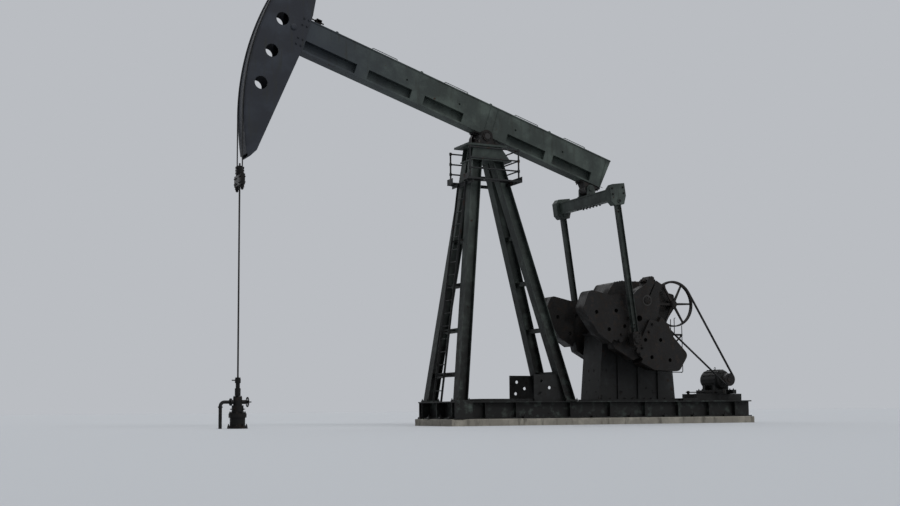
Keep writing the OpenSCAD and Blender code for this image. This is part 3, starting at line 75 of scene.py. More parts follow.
# The height, radius, number and first angle in degrees of bolts in a ring.
Ring = tuple[float, float, int, float]


class Slot(Enum):
    """The record's material slots."""

    BEAM_PAINT = "grey_green_paint"
    HEAD_PAINT = "dark_head_paint"
    MACHINE_PAINT = "dark_machine_paint"
    CAST_IRON = "oily_cast_iron"
    FITTINGS = "rusty_fittings"
    BRIGHT_STEEL = "bright_steel"
    WIRE_ROPE = "wire_rope"
    BELT_RUBBER = "belt_rubber"
    CONCRETE = "plinth_concrete"


class Body(Enum):
    """The moving bodies of the frame."""

    FRAME = "frame"
    BEAM = "beam"
    CRANKS = "cranks"
    PITMANS = "pitmans"
    HANGER = "hanger"
    SHEAVE = "sheave"
    PULLEY = "pulley"


class Axis(Enum):
    """The axis that a ring stands square to."""

    X = 0
    Y = 1
    Z = 2


def linear(code: str) -> tuple[float, float, float, float]:
    """Turns an sRGB hex value into linear colour.

    Args:
        code: six hex digits, such as 3f4946.

    Returns:
        Linear red, green and blue, and an alpha of 1.
    """
    value = np.array([int(code[i:i + 2], 16) for i in (0, 2, 4)]) / 255.0
    rgb = np.where(value <= 0.04045, value / 12.92, ((value + 0.055) / 1.055) ** 2.4)
    return float(rgb[0]), float(rgb[1]), float(rgb[2]), 1.0


def add(
    tree: bpy.types.NodeTree,
    kind: str,
    sockets: Mapping[str | int, object] | None = None,
    **settings: object,
) -> bpy.types.Node:
    """Adds one node with its settings, values and links.

    Args:
        tree: the node tree that gets the node.
        kind: the node's type name without ShaderNode.
        sockets: for each input a value, a colour's hex value, an output that feeds it, or a node
            whose first output in use feeds it.
        settings: the node's own properties.

    Returns:
        The new node.
    """
    node = tree.nodes.new("ShaderNode" + kind)
    for name, value in settings.items():
        setattr(node, name, value)
    for name, value in (sockets or {}).items():
        if isinstance(value, bpy.types.Node):
            value = next(output for output in value.outputs if output.enabled)
        if isinstance(value, bpy.types.NodeSocket):
            tree.links.new(value, node.inputs[name])
        else:
            node.inputs[name].default_value = linear(value) if isinstance(value, str) else value
    return node


@dataclass(frozen=True)
class Cloud:
    """Cloudy noise on the object's own coordinates.

    Attributes:
        size_mm: the real size of one cloud.
        detail: how many finer layers the noise has.
        low: the value below which no patch shows.
        high: the value above which a patch is full.
        tall: how many times taller than wide a cloud is.
    """

    size_mm: float
    detail: float
    low: float = 0.0
    high: float = 1.0
    tall: float = 1.0

    def grain(self, tree: bpy.types.NodeTree) -> bpy.types.Node:
        """Adds the plain noise, from 0 to 1.

        Args:
            tree: the material's node tree.

        Returns:
            The last node of the noise.
        """
        place = add(tree, "TexCoord").outputs["Object"]
        if self.tall != 1.0:
            place = add(tree, "Mapping", {"Vector": place, "Scale": (1.0, 1.0, 1.0 / self.tall)},
                        vector_type="POINT")
        return add(tree, "TexNoise", {"Vector": place, "Scale": 1000.0 / self.size_mm, "Detail": self.detail,
                                      "Roughness": 0.6}, noise_dimensions="3D")

    def patches(self, tree: bpy.types.NodeTree) -> bpy.types.Node:
        """Adds the noise with its values from low to high spread from 0 to 1, with soft ends."""
        return add(tree, "MapRange", {"Value": self.grain(tree), "From Min": self.low, "From Max": self.high},
                   interpolation_type="SMOOTHSTEP")


def lay(
    tree: bpy.types.NodeTree, below: object, above: object, where: bpy.types.Node, share: float = 1.0
) -> bpy.types.Node:
    """Lays one tone over another.

    Args:
        tree: the material's node tree.
        below: the tone so far, a hex value or a node.
        above: the tone that lies on it, a hex value or a node.
        where: the patches in which it lies.
        share: how much of it shows there.

    Returns:
        The last node of the new tone.
    """
    if share != 1.0:
        where = add(tree, "Math", {0: where, 1: share}, operation="MULTIPLY")
    return add(tree, "Mix", {0: where, 6: below, 7: above}, data_type="RGBA")


@dataclass(frozen=True)
class Finish:
    """A named finish with one surface shader."""

    name: str

    def sockets(self, tree: bpy.types.NodeTree) -> dict[str, object]:
        """Adds the finish's patterns and says what feeds its surface shader."""
        raise NotImplementedError

    def build(self) -> bpy.types.Material:
        """Builds the material.

        Returns:
            The material, with the shader fed as the finish says.
        """
        made = bpy.data.materials.new(self.name)
        made.use_nodes = True
        tree = made.node_tree
        tree.nodes.clear()
        shader = add(tree, "BsdfPrincipled", self.sockets(tree))
        add(tree, "OutputMaterial", {"Surface": shader})
        return made


@dataclass(frozen=True)
class WeatheredPaint(Finish):
    """Alkyd machine enamel, brushed on and left outdoors: it chalks in pale clouds, streaks and rusts through, and
    near the ground it darkens towards black, partly real grime and partly painted shade.

    Where a fore paint is named, it covers the end over the well and fades into the other along X.
    """

    paint: str
    chalk: str
    fore: str = ""
    fore_from: float = -1.2
    fore_full: float = -4.3
    fore_share: float = 0.85
    streak: str = "23241f"
    streak_share: float = 0.55
    rust: str = "2c1e17"
    rust_bright: str = "3a281d"
    # The near-black laid on near the ground: real grime and painted shade together.
    grime_and_shade: str = "0e0e0d"
    chalk_mm: float = 620.0
    chalk_share: float = 0.5
    streak_mm: float = 90.0
    rust_mm: float = 150.0
    rust_from: float = 0.6
    rust_rim: float = 0.05
    grain_mm: float = 14.0
    grime_and_shade_mm: float = 180.0
    grime_and_shade_height: float = 6.4
    grime_and_shade_ground: float = 1.3
    roughness: float = 0.6
    rust_roughness: float = 0.92

    def sockets(self, tree: bpy.types.NodeTree) -> dict[str, object]:
        """Lays chalk, the fore paint, streaks, rust, and near-black grime with painted shade towards the ground over
        the paint, with raised rust.

        Args:
            tree: the material's node tree.

        Returns:
            What feeds the surface shader.
        """
        fine = Cloud(self.grain_mm, 5.0).grain(tree)
        spots = Cloud(self.rust_mm, 9.0, self.rust_from, self.rust_from + self.rust_rim).patches(tree)
        place = add(tree, "SeparateXYZ", {"Vector": add(tree, "TexCoord").outputs["Object"]}).outputs
        colour = lay(tree, self.paint, self.chalk, Cloud(self.chalk_mm, 7.0, 0.42, 0.66).patches(tree),
                     self.chalk_share)
        if self.fore:
            ahead = add(tree, "MapRange", {"Value": place["X"], "From Min": self.fore_full,
                                           "From Max": self.fore_from, "To Min": self.fore_share, "To Max": 0.0})
            colour = lay(tree, colour, self.fore, ahead)
        runs = Cloud(self.streak_mm, 4.0, 0.52, 0.74, tall=9.0).patches(tree)
        colour = lay(tree, colour, self.streak, runs, self.streak_share)
        bright = add(tree, "MapRange", {"Value": fine, "From Min": 0.35, "From Max": 0.7},
                     interpolation_type="SMOOTHSTEP")
        colour = lay(tree, colour, lay(tree, self.rust, self.rust_bright, bright), spots)
        # Painted shade mixed with real grime: the colour darkens towards black nearer the ground, in patches.
        low = add(tree, "MapRange", {"Value": place["Z"], "From Min": 0.0, "From Max": self.grime_and_shade_height,
                                     "To Min": self.grime_and_shade_ground, "To Max": 0.0})
        grime_and_shade_patches = Cloud(self.grime_and_shade_mm, 6.0, 0.2, 0.6).patches(tree)
        colour = lay(tree, colour, self.grime_and_shade, add(tree, "Math", {0: low, 1: grime_and_shade_patches}, operation="MULTIPLY"))
        grain = add(tree, "Math", {0: spots, 1: 0.5, 2: fine}, operation="MULTIPLY_ADD")
        return {
            "Base Color": colour,
            "Roughness": add(tree, "MapRange", {"Value": spots, "To Min": self.roughness,
                                                "To Max": self.rust_roughness}),
            "Normal": add(tree, "Bump", {"Strength": 0.35, "Distance": 0.004, "Height": grain}),
            "Specular IOR Level": 0.25,
        }


@dataclass(frozen=True)
class SandCasting(Finish):
    """Grey iron cast in sand, oiled and rusted: coarse grain, dark oil clouds and brown bloom."""

    iron: str
    oil: str
    bloom: str
    pits: str = "0f0e0d"
    grit_mm: float = 9.0
    lump_mm: float = 70.0
    bloom_share: float = 0.6
    roughness: float = 0.66
    dry: float = 0.14
    wet: float = -0.2

    def sockets(self, tree: bpy.types.NodeTree) -> dict[str, object]:
        """Lays oil, bloom and dark pits over the iron; oiled places are smoother, and lumps and grit stand up.

        Args:
            tree: the material's node tree.

        Returns:
            What feeds the surface shader.
        """
        oil = Cloud(340.0, 6.0, 0.4, 0.62, 1.8).patches(tree)
        grain = Cloud(self.grit_mm, 5.0).grain(tree)
        pits = add(tree, "MapRange", {"Value": grain, "From Min": 0.5, "From Max": 0.8},
                   interpolation_type="SMOOTHSTEP")
        colour = lay(tree, self.iron, self.oil, oil)
        colour = lay(tree, colour, self.bloom, Cloud(120.0, 8.0, 0.5, 0.68).patches(tree), self.bloom_share)
        lumps = add(tree, "Math", {0: Cloud(self.lump_mm, 3.0).grain(tree), 1: 1.5, 2: grain},
                    operation="MULTIPLY_ADD")
        return {
            "Base Color": lay(tree, colour, self.pits, pits, 0.25),
            "Roughness": add(tree, "MapRange", {"Value": oil, "To Min": self.roughness + self.dry,
                                                "To Max": self.roughness + self.wet}),
            "Normal": add(tree, "Bump", {"Strength": 0.5, "Distance": 0.005, "Height": lumps}),
            "Metallic": 0.25,
            "Specular IOR Level": 0.25,
        }


@dataclass(frozen=True)
class TurnedSteel(Finish):
    """Carbon steel turned on a lathe and wiped with oil, or drawn into greased wire: fine tool marks
    and a brown film that dulls it."""

    steel: str
    film: str
    roughness: float = 0.36
    metallic: float = 0.9
    film_rougher: float = 0.25
    marks_mm: float = 3.0

    def sockets(self, tree: bpy.types.NodeTree) -> dict[str, object]:
        """Lays the film over the steel, rougher where it lies, with fine tool marks.

        Args:
            tree: the material's node tree.

        Returns:
            What feeds the surface shader.
        """
        film = Cloud(260.0, 6.0, 0.42, 0.72, 3.0).patches(tree)
        marks = Cloud(self.marks_mm, 2.0).grain(tree)
        return {
            "Base Color": lay(tree, self.steel, self.film, film, 0.7),
            "Roughness": add(tree, "MapRange", {"Value": film, "To Min": self.roughness,
                                                "To Max": self.roughness + self.film_rougher}),
            "Normal": add(tree, "Bump", {"Strength": 0.15, "Distance": 0.001, "Height": marks}),
            "Metallic": self.metallic,
        }


@dataclass(frozen=True)
class DrivingRubber(Finish):
    """Moulded rubber belt: near black, dulled by dust."""

    rubber: str = "1b1c1e"
    dust: str = "3f3b35"

    def sockets(self, tree: bpy.types.NodeTree) -> dict[str, object]:
        """Lays dust over the rubber.

        Args:
            tree: the material's node tree.

        Returns:
            What feeds the surface shader.
        """
        dusty = Cloud(60.0, 6.0, 0.45, 0.7).patches(tree)
        skin_grain = Cloud(4.0, 3.0).grain(tree)
        return {
            "Base Color": lay(tree, self.rubber, self.dust, dusty, 0.6),
            "Roughness": 0.78,
            "Normal": add(tree, "Bump", {"Strength": 0.2, "Distance": 0.001, "Height": skin_grain}),
        }


@dataclass(frozen=True)
class PouredConcrete(Finish):
    """Concrete poured in board forms and weathered: sandy grain, pits, dark runs and pale lime."""

    cement: str = "77736a"
    lime: str = "949085"
    stain: str = "3a372f"
    hollow: str = "35322b"

    def sockets(self, tree: bpy.types.NodeTree) -> dict[str, object]:
        """Lays lime, dark runs and pits over the cement, with sunk pits and raised sand.

        Args:
            tree: the material's node tree.

        Returns:
            What feeds the surface shader.
        """
        pits = Cloud(24.0, 3.0, 0.66, 0.74).patches(tree)
        colour = lay(tree, self.cement, self.lime, Cloud(420.0, 7.0, 0.45, 0.68).patches(tree), 0.7)
        colour = lay(tree, colour, self.stain, Cloud(160.0, 6.0, 0.5, 0.7, 4.0).patches(tree), 0.7)
        height = add(tree, "Math", {0: pits, 1: -2.0, 2: Cloud(7.0, 4.0).grain(tree)}, operation="MULTIPLY_ADD")
        return {
            "Base Color": lay(tree, colour, self.hollow, pits, 0.6),
            "Roughness": 0.93,
            "Normal": add(tree, "Bump", {"Strength": 0.6, "Distance": 0.005, "Height": height}),
        }


@dataclass(frozen=True)
class MattPaper(Finish):
    """Unprinted matt paper: one even pale tone."""

    tone: str

    def sockets(self, tree: bpy.types.NodeTree) -> dict[str, object]:
        """Gives the paper's tone and roughness; it has no pattern."""
        return {"Base Color": self.tone, "Roughness": 0.95}


FINISHES: dict[Slot, Finish] = {
    Slot.BEAM_PAINT: WeatheredPaint("alkyd_enamel_grey_green", "2d3431", "505a54", fore="2b3038",
                                    chalk_share=0.6, rust_from=0.65),
    Slot.HEAD_PAINT: WeatheredPaint("alkyd_enamel_blue_grey", "20232a", "343a43", chalk_share=0.45, rust_from=0.7),
    Slot.MACHINE_PAINT: WeatheredPaint("alkyd_enamel_dark", "191b1c", "2b2e2e", chalk_share=0.45, rust_from=0.6),
    Slot.CAST_IRON: SandCasting("cast_iron_oiled", "1d1b1a", "111010", "291f18"),
    Slot.FITTINGS: SandCasting("forged_fittings_rusty", "141312", "0c0b0b", "241a13", grit_mm=5.0),
    Slot.BRIGHT_STEEL: TurnedSteel("turned_steel", "2f2e2d", "1a1715", metallic=0.7),
    Slot.WIRE_ROPE: TurnedSteel("greased_wire_rope", "1c1c1d", "12100e", roughness=0.65, metallic=0.3),
    Slot.BELT_RUBBER: DrivingRubber("belt_rubber"),
    Slot.CONCRETE: PouredConcrete("poured_concrete"),
}


@dataclass(frozen=True)
class Shape:
    """A surface: its points, and its faces in arrays whose rows have equal numbers of corners."""

    points: Points
    faces: tuple[Faces, ...]


def joined(*shapes: Shape) -> Shape:
    """Puts shapes into one: the points follow each other, and each face array is shifted by the points before it.

    Args:
        shapes: the shapes to put together.

    Returns:
        One shape with all of their faces.
    """
    starts = np.cumsum([0] + [len(shape.points) for shape in shapes[:-1]])
    faces = tuple(rows + start for shape, start in zip(shapes, starts) for rows in shape.faces)
    return Shape(np.concatenate([shape.points for shape in shapes]), faces)


def both_sides(*shapes: Shape) -> Shape:
    """Joins shapes and their mirror image in the machine's middle plane, with the image's faces turned round.

    Args:
        shapes: the shapes on one side.

    Returns:
        Both sides as one shape.
    """
    near = joined(*shapes)
    return joined(near, Shape(near.points * (1.0, -1.0, 1.0), tuple(rows[:, ::-1] for rows in near.faces)))


def skin(rings: Points, endless: bool = False) -> Shape:
    """Stretches quads between closed rings of points and closes the two end rings with one face each.

    Args:
        rings: points by ring, place in the ring, and xyz.
        endless: True if the last ring meets the first, so that nothing is capped.

    Returns:
        The closed surface.
    """
    rows, count = rings.shape[:2]
    row, place = np.meshgrid(np.arange(rows if endless else rows - 1), np.arange(count), indexing="ij")
    above, beside = (row + 1) % rows, (place + 1) % count
    corners = (row * count + place, row * count + beside, above * count + beside, above * count + place)
    sides = np.stack(corners, -1).reshape(-1, 4)
    ends = (np.arange(count)[None, ::-1], np.arange(count)[None] + (rows - 1) * count)
    return Shape(rings.reshape(-1, 3), (sides,) if endless else (sides, *ends))


def circle(radius: float, count: int, start_deg: float = 0.0) -> Points:
    """Points round a circle: radius times the cosine and the sine of equal steps of angle."""
    angle = math.radians(start_deg) + np.arange(count) * 2.0 * np.pi / count
    return radius * np.stack([np.cos(angle), np.sin(angle)], -1)


def ring(middle: Sequence[float], radius: float, count: int, start_deg: float = 0.0, axis: Axis = Axis.Y) -> Points:
    """Places round a circle in space: the flat circle gets a 0 along the axis and is moved to its middle.

    Args:
        middle: the circle's middle.
        radius: the circle's radius.
        count: the number of places.
        start_deg: the angle of the first place.
        axis: the axis that the circle stands square to.

    Returns:
        The places.
    """
    return np.insert(circle(radius, count, start_deg), axis.value, 0.0, axis=1) + middle


def grid(first: Sequence[float], second: Sequence[float], third: Sequence[float]) -> Points:
    """Places points at every combination of the three coordinates."""
    return np.stack(np.meshgrid(first, second, third, indexing="ij"), -1).reshape(-1, 3)


def turned(count: int, *profile: tuple[float, float]) -> Shape:
    """Turns a profile round Z: each (radius, height) pair gives one ring.

    Args:
        count: the number of sides.
        profile: radii and heights from the bottom to the top.

    Returns:
        The turned solid.
    """
    sizes = np.array(profile)
    rings = np.empty((len(sizes), count, 3))
    rings[:, :, :2] = sizes[:, None, :1] * circle(1.0, count)[None]
    rings[:, :, 2] = sizes[:, None, 1]
    return skin(rings)


def block(low: Sequence[float], high: Sequence[float], edge: float = 0.003) -> Shape:
    """Makes a bar or plate with broken edges: eight-cornered rings that step in by the edge's size at both ends.

    Args:
        low: the lowest corner.
        high: the highest corner.
        edge: how far the edges are broken.

    Returns:
        The block.
    """
    middle, half = (np.array(low) + np.array(high)) / 2.0, (np.array(high) - np.array(low)) / 2.0
    inset = np.array([edge, 0.0, 0.0, edge])
    height = np.array([-half[2], edge - half[2], half[2] - edge, half[2]])
    signs = np.array([[1, -1], [1, -1], [1, 1], [1, 1], [-1, 1], [-1, 1], [-1, -1], [-1, -1]], float)
    cut = np.array([[1, 0], [0, 1], [0, 1], [1, 0], [1, 0], [0, 1], [0, 1], [1, 0]], float)
    rings = np.empty((4, 8, 3))
    rings[:, :, :2] = signs * (half[:2] - inset[:, None, None] - edge * cut)
    rings[:, :, 2] = height[:, None]
    return skin(rings + middle)


def walk(corners: Sequence[Sequence[float]], step: float, endless: bool = False) -> Points:
    """Places points at equal distances along a line through the given corners.

    Args:
        corners: the line's corners.
        step: the distance between points.
        endless: True if the line returns to its start.

    Returns:
        The points; the last isn't repeated on an endless line.
    """
    line = np.array(corners, float)
    if endless:
        line = np.concatenate([line, line[:1]])
    length = np.concatenate([[0.0], np.cumsum(np.linalg.norm(np.diff(line, axis=0), axis=1))])
    count = max(2, round(length[-1] / step) + 1)
    places = np.linspace(0.0, length[-1], count)[:-1 if endless else None]
    return np.stack([np.interp(places, length, line[:, axis]) for axis in range(3)], -1)


def carried(path: Points, outline: Points, across: Sequence[float], endless: bool = False) -> Shape:
    """Carries an outline along a path.

    The outline's first coordinate runs along the across direction made square to the path, and its
    second along the cross product of the path's direction with that.

    Args:
        path: points of the path.
        outline: the outline by place and coordinate, or by path point, place and coordinate.
        across: a direction that is never along the path.
        endless: True if the path closes on itself.

    Returns:
        The closed surface.
    """
    ahead = np.roll(path, -1, 0) - np.roll(path, 1, 0) if endless else np.gradient(path, axis=0)
    ahead /= np.linalg.norm(ahead, axis=1, keepdims=True)
    first = np.array(across, float) - (ahead @ np.array(across, float))[:, None] * ahead
    first /= np.linalg.norm(first, axis=1, keepdims=True)
    second = np.cross(ahead, first)
    flat = np.broadcast_to(outline, (len(path), *outline.shape[-2:]))
    rings = path[:, None] + flat[..., :1] * first[:, None] + flat[..., 1:] * second[:, None]
    return skin(rings, endless)


def rod(start: Sequence[float], end: Sequence[float], radius: float, count: int = 10) -> Shape:
    """Makes a straight round rod between two points.

    Args:
        start: the middle of one end.
        end: the middle of the other.
        radius: the rod's radius.
        count: the number of sides.

    Returns:
        The rod.
    """
    path = np.array([start, end], float)
    reach = np.abs(path[1] - path[0])
    return carried(path, circle(radius, count), SIDEWAYS if reach[1] < reach.max() else ALONG)


def weld(
    corners: Sequence[Sequence[float]],
    across: Sequence[float],
    radius: float = 0.008,
    step: float = 0.012,
) -> Shape:
    """Lays a weld bead along a line: a round bead whose radius swells by a fifth once in every three steps.

    Args:
        corners: the line's corners.
        across: a direction that is never along the line.
        radius: the bead's radius.
        step: the distance between rings of the bead; real ripples are finer than can show.

    Returns:
        The bead.
    """
    path = walk(corners, step)
    swell = 1.0 + 0.2 * np.sin(np.arange(len(path)) * 2.0 * np.pi / 3.0)
    return carried(path, circle(radius, 6)[None] * swell[:, None, None], across)


def laid_rope(path: Points, radius: float, across: Sequence[float], pitch: float) -> Shape:
    """Lays a six-strand rope along a path.

    At each point the radius is the rope's times 0.86 + 0.14 times the absolute sine of three times the
    angle, where the angle also turns once in every pitch, so that six strands twist along the path.

    Args:
        path: points of the path.
        radius: the rope's radius over its strands.
        across: a direction that is never along the path.
        pitch: the length of one turn of a strand.

    Returns:
        The rope.
    """
    along = np.concatenate([[0.0], np.cumsum(np.linalg.norm(np.diff(path, axis=0), axis=1))])
    unit = circle(1.0, 24)
    angle = np.arctan2(unit[:, 1], unit[:, 0])[None] - 2.0 * np.pi * along[:, None] / pitch
    size = radius * (0.86 + 0.14 * np.abs(np.sin(3.0 * angle)))
    return carried(path, unit[None] * size[..., None], across)


def ripple(places: Points, size: float, seed: int) -> np.ndarray:
    """Gives a smooth uneven value at each place: the mean of nine seeded sine waves of about the given size.

    Args:
        places: points by place and coordinate.
        size: the length of the middle wave.
        seed: the seed of the waves' directions, lengths and starts.

    Returns:
        One value for each place, mostly between -0.6 and 0.6.
    """
    random = np.random.default_rng(seed)
    direction = random.normal(size=(9, places.shape[-1]))
    direction /= np.linalg.norm(direction, axis=1, keepdims=True)
    reach = 2.0 * np.pi / (size * random.uniform(0.5, 1.6, 9))
    return np.sin(places @ (direction * reach[:, None]).T + random.uniform(0.0, 2.0 * np.pi, 9)).mean(-1)


def spread(form: Shape, places: Points | Sequence[Sequence[float]], facing: Points | Sequence[float]) -> Shape:
    """Copies a small form to many places, with its +Z turned to the direction given for each.

    Args:
        form: the form, made round the origin.
        places: where the copies stand.
        facing: one direction, or one for each place.

    Returns:
        All the copies as one shape.
    """
    spots = np.atleast_2d(np.array(places, float))
    up = np.broadcast_to(np.array(facing, float), spots.shape)
    up = up / np.linalg.norm(up, axis=1, keepdims=True)
    helper = np.where(np.abs(up[:, 1:2]) < 0.9, np.array([[0.0, 1.0, 0.0]]), np.array([[0.0, 0.0, 1.0]]))
    side = np.cross(helper, up)
    side /= np.linalg.norm(side, axis=1, keepdims=True)
    turn = np.stack([side, np.cross(up, side), up], 1)
    points = np.einsum("pk,nkj->npj", form.points, turn) + spots[:, None]
    shift = (np.arange(len(spots)) * len(form.points))[:, None, None]
    faces = tuple((rows[None] + shift).reshape(-1, rows.shape[1]) for rows in form.faces)
    return Shape(points.reshape(-1, 3), faces)


def bolts(
    flats: float, stud: float, places: Points | Sequence[Sequence[float]], facing: Points | Sequence[float]
) -> Shape:
    """Makes hexagon bolt heads or nuts on their washers, sunk 3 mm into the face that they stand on.

    Args:
        flats: the width over the hexagon's flats.
        stud: how far the thread stands out past the nut, or 0 for a bolt head.
        places: where the bolts stand.
        facing: the way out of the face, one for all or one for each.

    Returns:
        The bolts as one shape.
    """
    corner = flats / math.sqrt(3.0)
    parts = [
        turned(10, (0.62 * flats, -0.003), (0.62 * flats, 0.09 * flats)),
        turned(6, (corner, 0.09 * flats), (corner, 0.6 * flats), (0.86 * corner, 0.7 * flats)),
    ]
    if stud:
        parts.append(turned(8, (0.3 * flats, 0.7 * flats), (0.3 * flats, 0.7 * flats + stud)))
    return spread(joined(*parts), places, facing)


@dataclass(frozen=True)
class Lean:
    """A leaning frame in the machine's middle plane: along, sideways and up, from an origin at x and z."""

    x: float
    z: float
    angle_deg: float

    def points(self, local: Points) -> Points:
        """Moves points from this frame into the machine's, by its three directions as rows and its origin."""
        c, s = math.cos(math.radians(self.angle_deg)), math.sin(math.radians(self.angle_deg))
        return local @ np.array([[c, 0.0, s], [0.0, 1.0, 0.0], [-s, 0.0, c]]) + np.array([self.x, 0.0, self.z])

    def place(self, shape: Shape) -> Shape:
        """Moves a shape from this frame into the machine's."""
        return Shape(self.points(shape.points), shape.faces)


BEAM = Lean(0.0, 6.74, -18.0)
CRANKS = Lean(3.965, 2.95, 241.685)
PITMANS = Lean(2.912378, 5.720107, 8.082)
UP, DOWN = (0.0, 0.0, 1.0), (0.0, 0.0, -1.0)
SIDEWAYS, NEARWARDS = (0.0, 1.0, 0.0), (0.0, -1.0, 0.0)
ALONG, BACK = (1.0, 0.0, 0.0), (-1.0, 0.0, 0.0)


@dataclass
class Workshop:
    """Turns shapes into finished pieces and gives each slot its one material.

    Attributes:
        nodes: the frame's CAD nodes by name.
        slots: the material slot of each CAD node.
        finishes: the materials made so far.
    """

    nodes: Mapping[str, bpy.types.Object]
    slots: Mapping[str, str]
    finishes: dict[Slot, bpy.types.Material] = field(default_factory=dict)

    def finish(self, slot: Slot) -> bpy.types.Material:
        """Gives the slot's material, made at its first use."""
        if slot not in self.finishes:
            self.finishes[slot] = FINISHES[slot].build()
        return self.finishes[slot]

    def dress_nodes(self) -> None:
        """Gives every CAD node the material of its slot."""
        for name, node in self.nodes.items():
            node.data.materials.clear()
            node.data.materials.append(self.finish(Slot(self.slots[name])))
            LOG.info("node %s: %s", name, self.slots[name])

    def piece(
        self,
        name: str,
        shape: Shape,
        slot: Slot = Slot.FITTINGS,
        body: Body | None = Body.FRAME,
        stands_for: str = "",
        sharp_deg: float = 38.0,
    ) -> bpy.types.Object:
        """Writes a shape into a mesh, dresses it and lets it ride on its body.

        Args:
            name: the piece's name.
            shape: its surface.
            slot: the finish.
            body: the body that it rides on, or None if the caller sees to that.
            stands_for: the CAD node that it replaces, if any.
            sharp_deg: edges that turn more than this stay sharp.

        Returns:
            The new object.
        """
        corners = np.concatenate([rows.ravel() for rows in shape.faces])
        totals = np.concatenate([np.full(len(rows), rows.shape[1]) for rows in shape.faces])
        mesh = bpy.data.meshes.new(name)
        mesh.vertices.add(len(shape.points))
        mesh.vertices.foreach_set("co", shape.points.astype(np.float32).ravel())
        mesh.loops.add(len(corners))
        mesh.loops.foreach_set("vertex_index", corners.astype(np.int32))
        mesh.polygons.add(len(totals))
        mesh.polygons.foreach_set("loop_start", (np.cumsum(totals) - totals).astype(np.int32))
        mesh.polygons.foreach_set("use_smooth", np.ones(len(totals), bool))
        mesh.update(calc_edges=True)
        mesh.validate()
        outward = bmesh.new()
        outward.from_mesh(mesh)
        bmesh.ops.recalc_face_normals(outward, faces=outward.faces)
        outward.to_mesh(mesh)
        outward.free()
        mesh.set_sharp_from_angle(angle=math.radians(sharp_deg))
        mesh.materials.append(self.finish(slot))
        made = bpy.data.objects.new(name, mesh)
        bpy.context.scene.collection.objects.link(made)
        if body is not None:
            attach(made, body.value)
        if stands_for:
            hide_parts(stands_for)
        LOG.info("piece %s: %d faces", name, len(totals))
        return made


@dataclass
class Foundation:
    """The cast plinth, whose upper edge is chipped and whose top is worn."""

    middle_x: float = 2.9
    half_length: float = 4.2
    half_width: float = 0.98
    height: float = 0.156
    slack: float = 0.003
    chip: float = 0.045
    dip: float = 0.002
    unevenness: float = 0.003
    seed: int = 11

    def slab(self) -> Shape:
        """Rings of the plinth's outline step up its side and in over its top.

        Near the upper edge the rings move inwards and down where a smooth random value is high, so that
        pieces of the edge are missing; the sides are uneven by 3 mm and the top dips by 2 mm.

        Returns:
            The plinth.
        """
        long, short = np.linspace(-1.0, 1.0, 241)[:-1], np.linspace(-1.0, 1.0, 57)[:-1]
        half_edge = np.concatenate([np.stack([long, -np.ones_like(long)], -1),
                                    np.stack([np.ones_like(short), short], -1)])
        edge = np.concatenate([half_edge, -half_edge])
        inset = np.array([0.0, 0.0, 0.0, 0.0, 0.0, 0.005, 0.018, 0.045, 0.09, 0.18, 0.32, 0.5, 0.7, 0.9])
        share = np.array([0.0, 0.3, 0.55, 0.78, 0.92, 0.985, 1.0, 1.0, 1.0, 1.0, 1.0, 1.0, 1.0, 1.0])
        pulled = np.array([0.0, 0.0, 0.1, 0.45, 1.0, 1.0, 0.6, 0.15, 0.0, 0.0, 0.0, 0.0, 0.0, 0.0])
        sunk = np.array([0.0, 0.0, 0.0, 0.1, 0.45, 0.8, 0.75, 0.3, 0.0, 0.0, 0.0, 0.0, 0.0, 0.0])
        rings = np.empty((len(inset), len(edge), 3))
        rings[:, :, :2] = edge * (np.array([self.half_length, self.half_width]) - self.slack - inset[:, None, None])
        rings[:, :, 2] = (self.height * share)[:, None]
        broken = np.clip(3.0 * ripple(rings[0, :, :2], 0.55, self.seed) - 0.35, 0.0, 1.0)
        broken *= 0.7 + 0.6 * ripple(rings[0, :, :2], 0.09, self.seed + 1)
        uneven = self.unevenness * np.abs(ripple(rings, 0.12, self.seed + 2)) * (inset < 0.01)[:, None]
        loss = self.chip * broken[None] * pulled[:, None] + uneven
        rings[:, :, :2] -= edge[None] * loss[..., None]
        worn = self.dip * (0.5 + 0.5 * ripple(rings, 0.3, self.seed + 3)) * (share > 0.95)[:, None]
        rings[:, :, 2] -= self.chip * broken[None] * sunk[:, None] + worn
        return skin(rings + np.array([self.middle_x, 0.0, 0.0]))

    def build(self, shop: Workshop) -> None:
        """Builds the plinth in place of its plain solid."""
        shop.piece("plinth_cast", self.slab(), Slot.CONCRETE, stands_for="plinth", sharp_deg=55.0)


